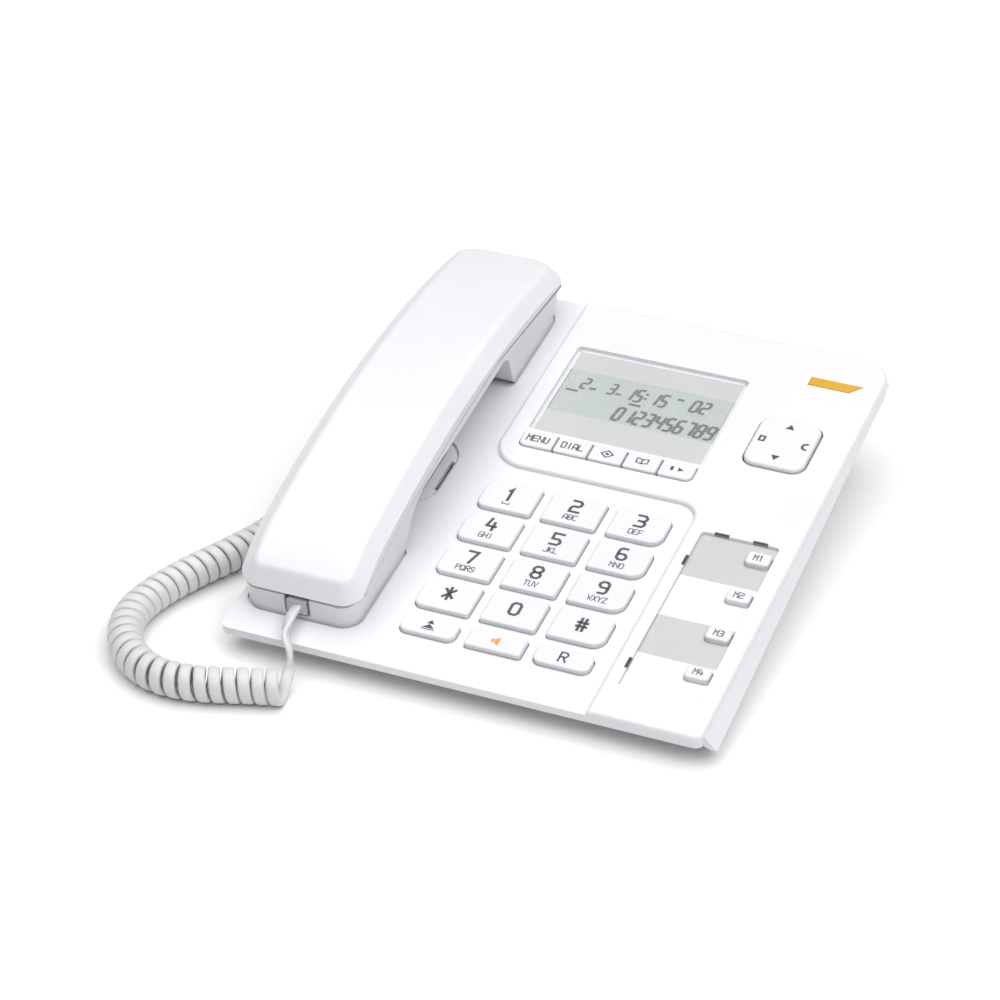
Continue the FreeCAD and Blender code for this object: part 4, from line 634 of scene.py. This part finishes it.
memoryStrip = {"left": 73.9, "front": 26.4, "pitch": 20.8, "width": 8.9, "length": 6.4, "top": 3.1, "keys": 4,
               "word": {"height": 2.7, "weight": 0.16, "squeeze": 0.8}}


def printMemoryKeys():
    middle, line = memoryStrip["width"] / 2, memoryStrip["length"] / 2
    for number in range(1, memoryStrip["keys"] + 1):
        origin = (memoryStrip["left"],
                  memoryStrip["front"] + (memoryStrip["keys"] - number) * memoryStrip["pitch"])
        quads = textFaces(f"M{number}", middle, line, memoryStrip["word"])
        addPrint(f"print_memory_key_{number}", quads, memoryStrip["top"] + printLift,
                 f"memory_key_{number}", finish["printInk"], origin)


navPad = {"middle": 65.7, "line": 155.1, "top": 3.8, "reachUp": 9.3, "reachSide": 8.0}


def printNavPad():
    up, side = navPad["reachUp"], navPad["reachSide"]
    marks = signFaces(signs["up"], 0, up) + signFaces(signs["down"], 0, -up)
    marks += signFaces(signs["box"], -side, 0) + signFaces(signs["hook"], side, 0)
    addPrint("print_nav_key", marks, navPad["top"] + printLift, "nav_key", finish["printInk"],
             (navPad["middle"], navPad["line"]))


# Places of the painted shade in the clip slots.
clipSlotShade = {"across": [(58.6, 64.2), (73.2, 78.8)], "back": (100.5, 101.7),
               "along": [(24.6, 30.2), (81.2, 86.8)], "left": (52.9, 54.1), "height": 1.7}


def addPaintedSlotShade():
    # Painted shade: dark sheets down in the clip slots around the clear strip, where shade falls inside the
    # slots.
    quads = [rectangle(*span, *clipSlotShade["back"]) for span in clipSlotShade["across"]]
    quads += [rectangle(*clipSlotShade["left"], *span) for span in clipSlotShade["along"]]
    addPrint("memory_clip_slots_painted_shade", quads, clipSlotShade["height"], "base", finish["blackPart"])


seamShadow = {"middle": -65.3, "half": 23.13, "width": 1.4, "top": 0.02,
        "line": [(20.5, 11.43), (24, 13.4), (62, 19.4), (97, 22.4), (144, 23.4), (207, 14.3)]}


def addPaintedSeamShadow():
    # Painted shadow: a dark strip under the edge of the handset's upper shell, on both sides, where the
    # overhang's shadow falls.
    points, faces = [], []
    for way in (-1, 1):
        first = len(points)
        x = seamShadow["middle"] + way * seamShadow["half"]
        for v, h in seamShadow["line"]:
            points += [onDeck(x, v, h - seamShadow["top"]), onDeck(x, v, h - seamShadow["top"] - seamShadow["width"])]
        for number in range(len(seamShadow["line"]) - 1):
            low = first + 2 * number
            corners = (low, low + 1, low + 3, low + 2)
            faces.append(corners if way > 0 else tuple(reversed(corners)))
    mesh = meshOf("handset_seam_painted_shadow", points, faces)
    addPiece("handset_seam_painted_shadow", mesh, "handset", finish["paintedSeamShadow"])


addPaintedSlotShade()
addPaintedSeamShadow()
printKeys()
printSoftKeys()
printMemoryKeys()
printNavPad()
print("marks printed")

# Display. A reading is its digits, left, front, digit width, height, gap and stroke.

display = {"left": -26.0, "right": 40.0, "front": 136.8, "back": 186.1, "bandFront": 150.0,
           "bandBack": 175.6, "borderHeight": 0.32, "digitHeight": 0.36, "slant": 0.14, "inset": 0.58,
           "colon": (0.28, 0.66),
           "readings": [("0123456789", -1.0, 151.6, 2.6, 7.5, 1.45, 1.3),
                        ("15:15", -0.9, 164.4, 2.4, 7.1, 1.3, 1.15),
                        ("02", 25.0, 165.4, 2.5, 6.5, 1.3, 1.15),
                        ("2", -19.0, 165.6, 2.3, 6.0, 1.0, 1.0),
                        ("3", -8.2, 165.6, 2.3, 6.0, 1.0, 1.0)],
           "dashes": [{"half": 0.7, "stroke": 1.3, "x": -13.9, "v": 166.4},
                      {"half": 0.6, "stroke": 1.1, "x": -3.6, "v": 166.4},
                      {"half": 0.7, "stroke": 1.2, "x": 20.2, "v": 170.6},
                      {"half": 1.8, "stroke": 1.2, "x": 4.6, "v": 162.2},
                      {"half": 1.9, "stroke": 1.1, "x": -21.2, "v": 163.4}],
           "segments": {"0": "abcdef", "1": "bc", "2": "abged", "3": "abgcd", "4": "fgbc", "5": "afgcd",
                        "6": "afgedc", "7": "abc", "8": "abcdefg", "9": "abcdfg"},
           "lines": {"a": ((0, 1), (1, 1)), "b": ((1, 0.5), (1, 1)), "c": ((1, 0), (1, 0.5)),
                     "d": ((0, 0), (1, 0)), "e": ((0, 0), (0, 0.5)), "f": ((0, 0.5), (0, 1)),
                     "g": ((0, 0.5), (1, 0.5))}}


def segmentFaces(digits, left, front, width, height, gap, stroke):
    # Seven-segment digits from the first one's lower left corner.
    quads = []
    for digit in digits:
        if digit == ":":
            for share in display["colon"]:
                low = front + share * height
                quads.append(rectangle(left, left + stroke, low, low + stroke))
            left += gap + stroke
            continue
        for letter in display["segments"][digit]:
            ends = []
            for across, along in display["lines"][letter]:
                lean = along * height * display["slant"]
                ends.append(Vector((left + across * width + lean, front + along * height)))
            inset = (ends[1] - ends[0]).normalized() * stroke * display["inset"]
            quads += strokeFaces([ends[0] + inset, ends[1] - inset], stroke)
        left += width + gap
    return quads


def makeDisplay():
    border = [rectangle(display["left"], display["right"], display["front"], display["bandFront"]),
              rectangle(display["left"], display["right"], display["bandBack"], display["back"])]
    addPrint("display_border", border, display["borderHeight"], "base", finish["displayBorder"])
    quads = []
    for reading in display["readings"]:
        quads += segmentFaces(*reading)
    for dash in display["dashes"]:
        quads += signFaces([(dash["stroke"], [(-dash["half"], 0), (dash["half"], 0)])], dash["x"], dash["v"])
    addPrint("display_digits", quads, display["digitHeight"], "base", finish["lcdSegment"])


makeDisplay()
print("display made")

# Floor and lights, in metres, and the camera

studio = {"floorHalf": 4.0, "floorColor": (0.84, 0.84, 0.84, 1), "floorRoughness": 0.9,
          "worldColor": (1, 1, 1, 1), "worldStrength": 0.2, "lightsAim": (0, 0, 0),
          "lights": {"keyLight": {"place": (1.0, -0.6, 1.3), "size": 1.2, "power": 4},
                     "topLight": {"place": (0.15, -0.1, 1.8), "size": 3.6, "power": 68}}}


def makeFloor():
    half = studio["floorHalf"]
    corners = [(x, y, 0) for x, y in rectangle(-half, half, -half, half)]
    mesh = meshOf("floor", corners, [(0, 1, 2, 3)])
    material, _, shader = newMaterial("paleFloor")
    shader.inputs["Base Color"].default_value = studio["floorColor"]
    shader.inputs["Roughness"].default_value = studio["floorRoughness"]
    floor = addPiece("floor", mesh, None, material)


def addArea(name, settings):
    light = bpy.data.lights.new(name, "AREA")
    light.shape = "DISK"
    light.size = settings["size"]
    light.energy = settings["power"]
    lamp = addObject(name, light)
    lamp.location = settings["place"]
    way = Vector(studio["lightsAim"]) - Vector(settings["place"])
    lamp.rotation_euler = way.to_track_quat("-Z", "Y").to_euler()


def makeLight():
    world = bpy.data.worlds.new("softRoom")
    scene.world = world
    world.use_nodes = True
    background = world.node_tree.nodes["Background"]
    background.inputs["Color"].default_value = studio["worldColor"]
    background.inputs["Strength"].default_value = studio["worldStrength"]
    for name, settings in studio["lights"].items():
        addArea(name, settings)


def makeCamera():
    camera = bpy.data.cameras.new("photoView")
    camera.lens = view["lens"]
    camera.sensor_width = view["sensor"]
    camera.clip_end = view["farthest"]
    holder = addObject("photoView", camera)
    x, y, z = view["place"]
    holder.location = onTable(x, y, z + deck["frontHeight"])
    holder.rotation_euler = (math.radians(90 - view["rise"]), 0, math.radians(view["turn"]))
    scene.camera = holder


makeFloor()
makeLight()
makeCamera()
scene.view_settings.view_transform = "Standard"
print("studio ready")
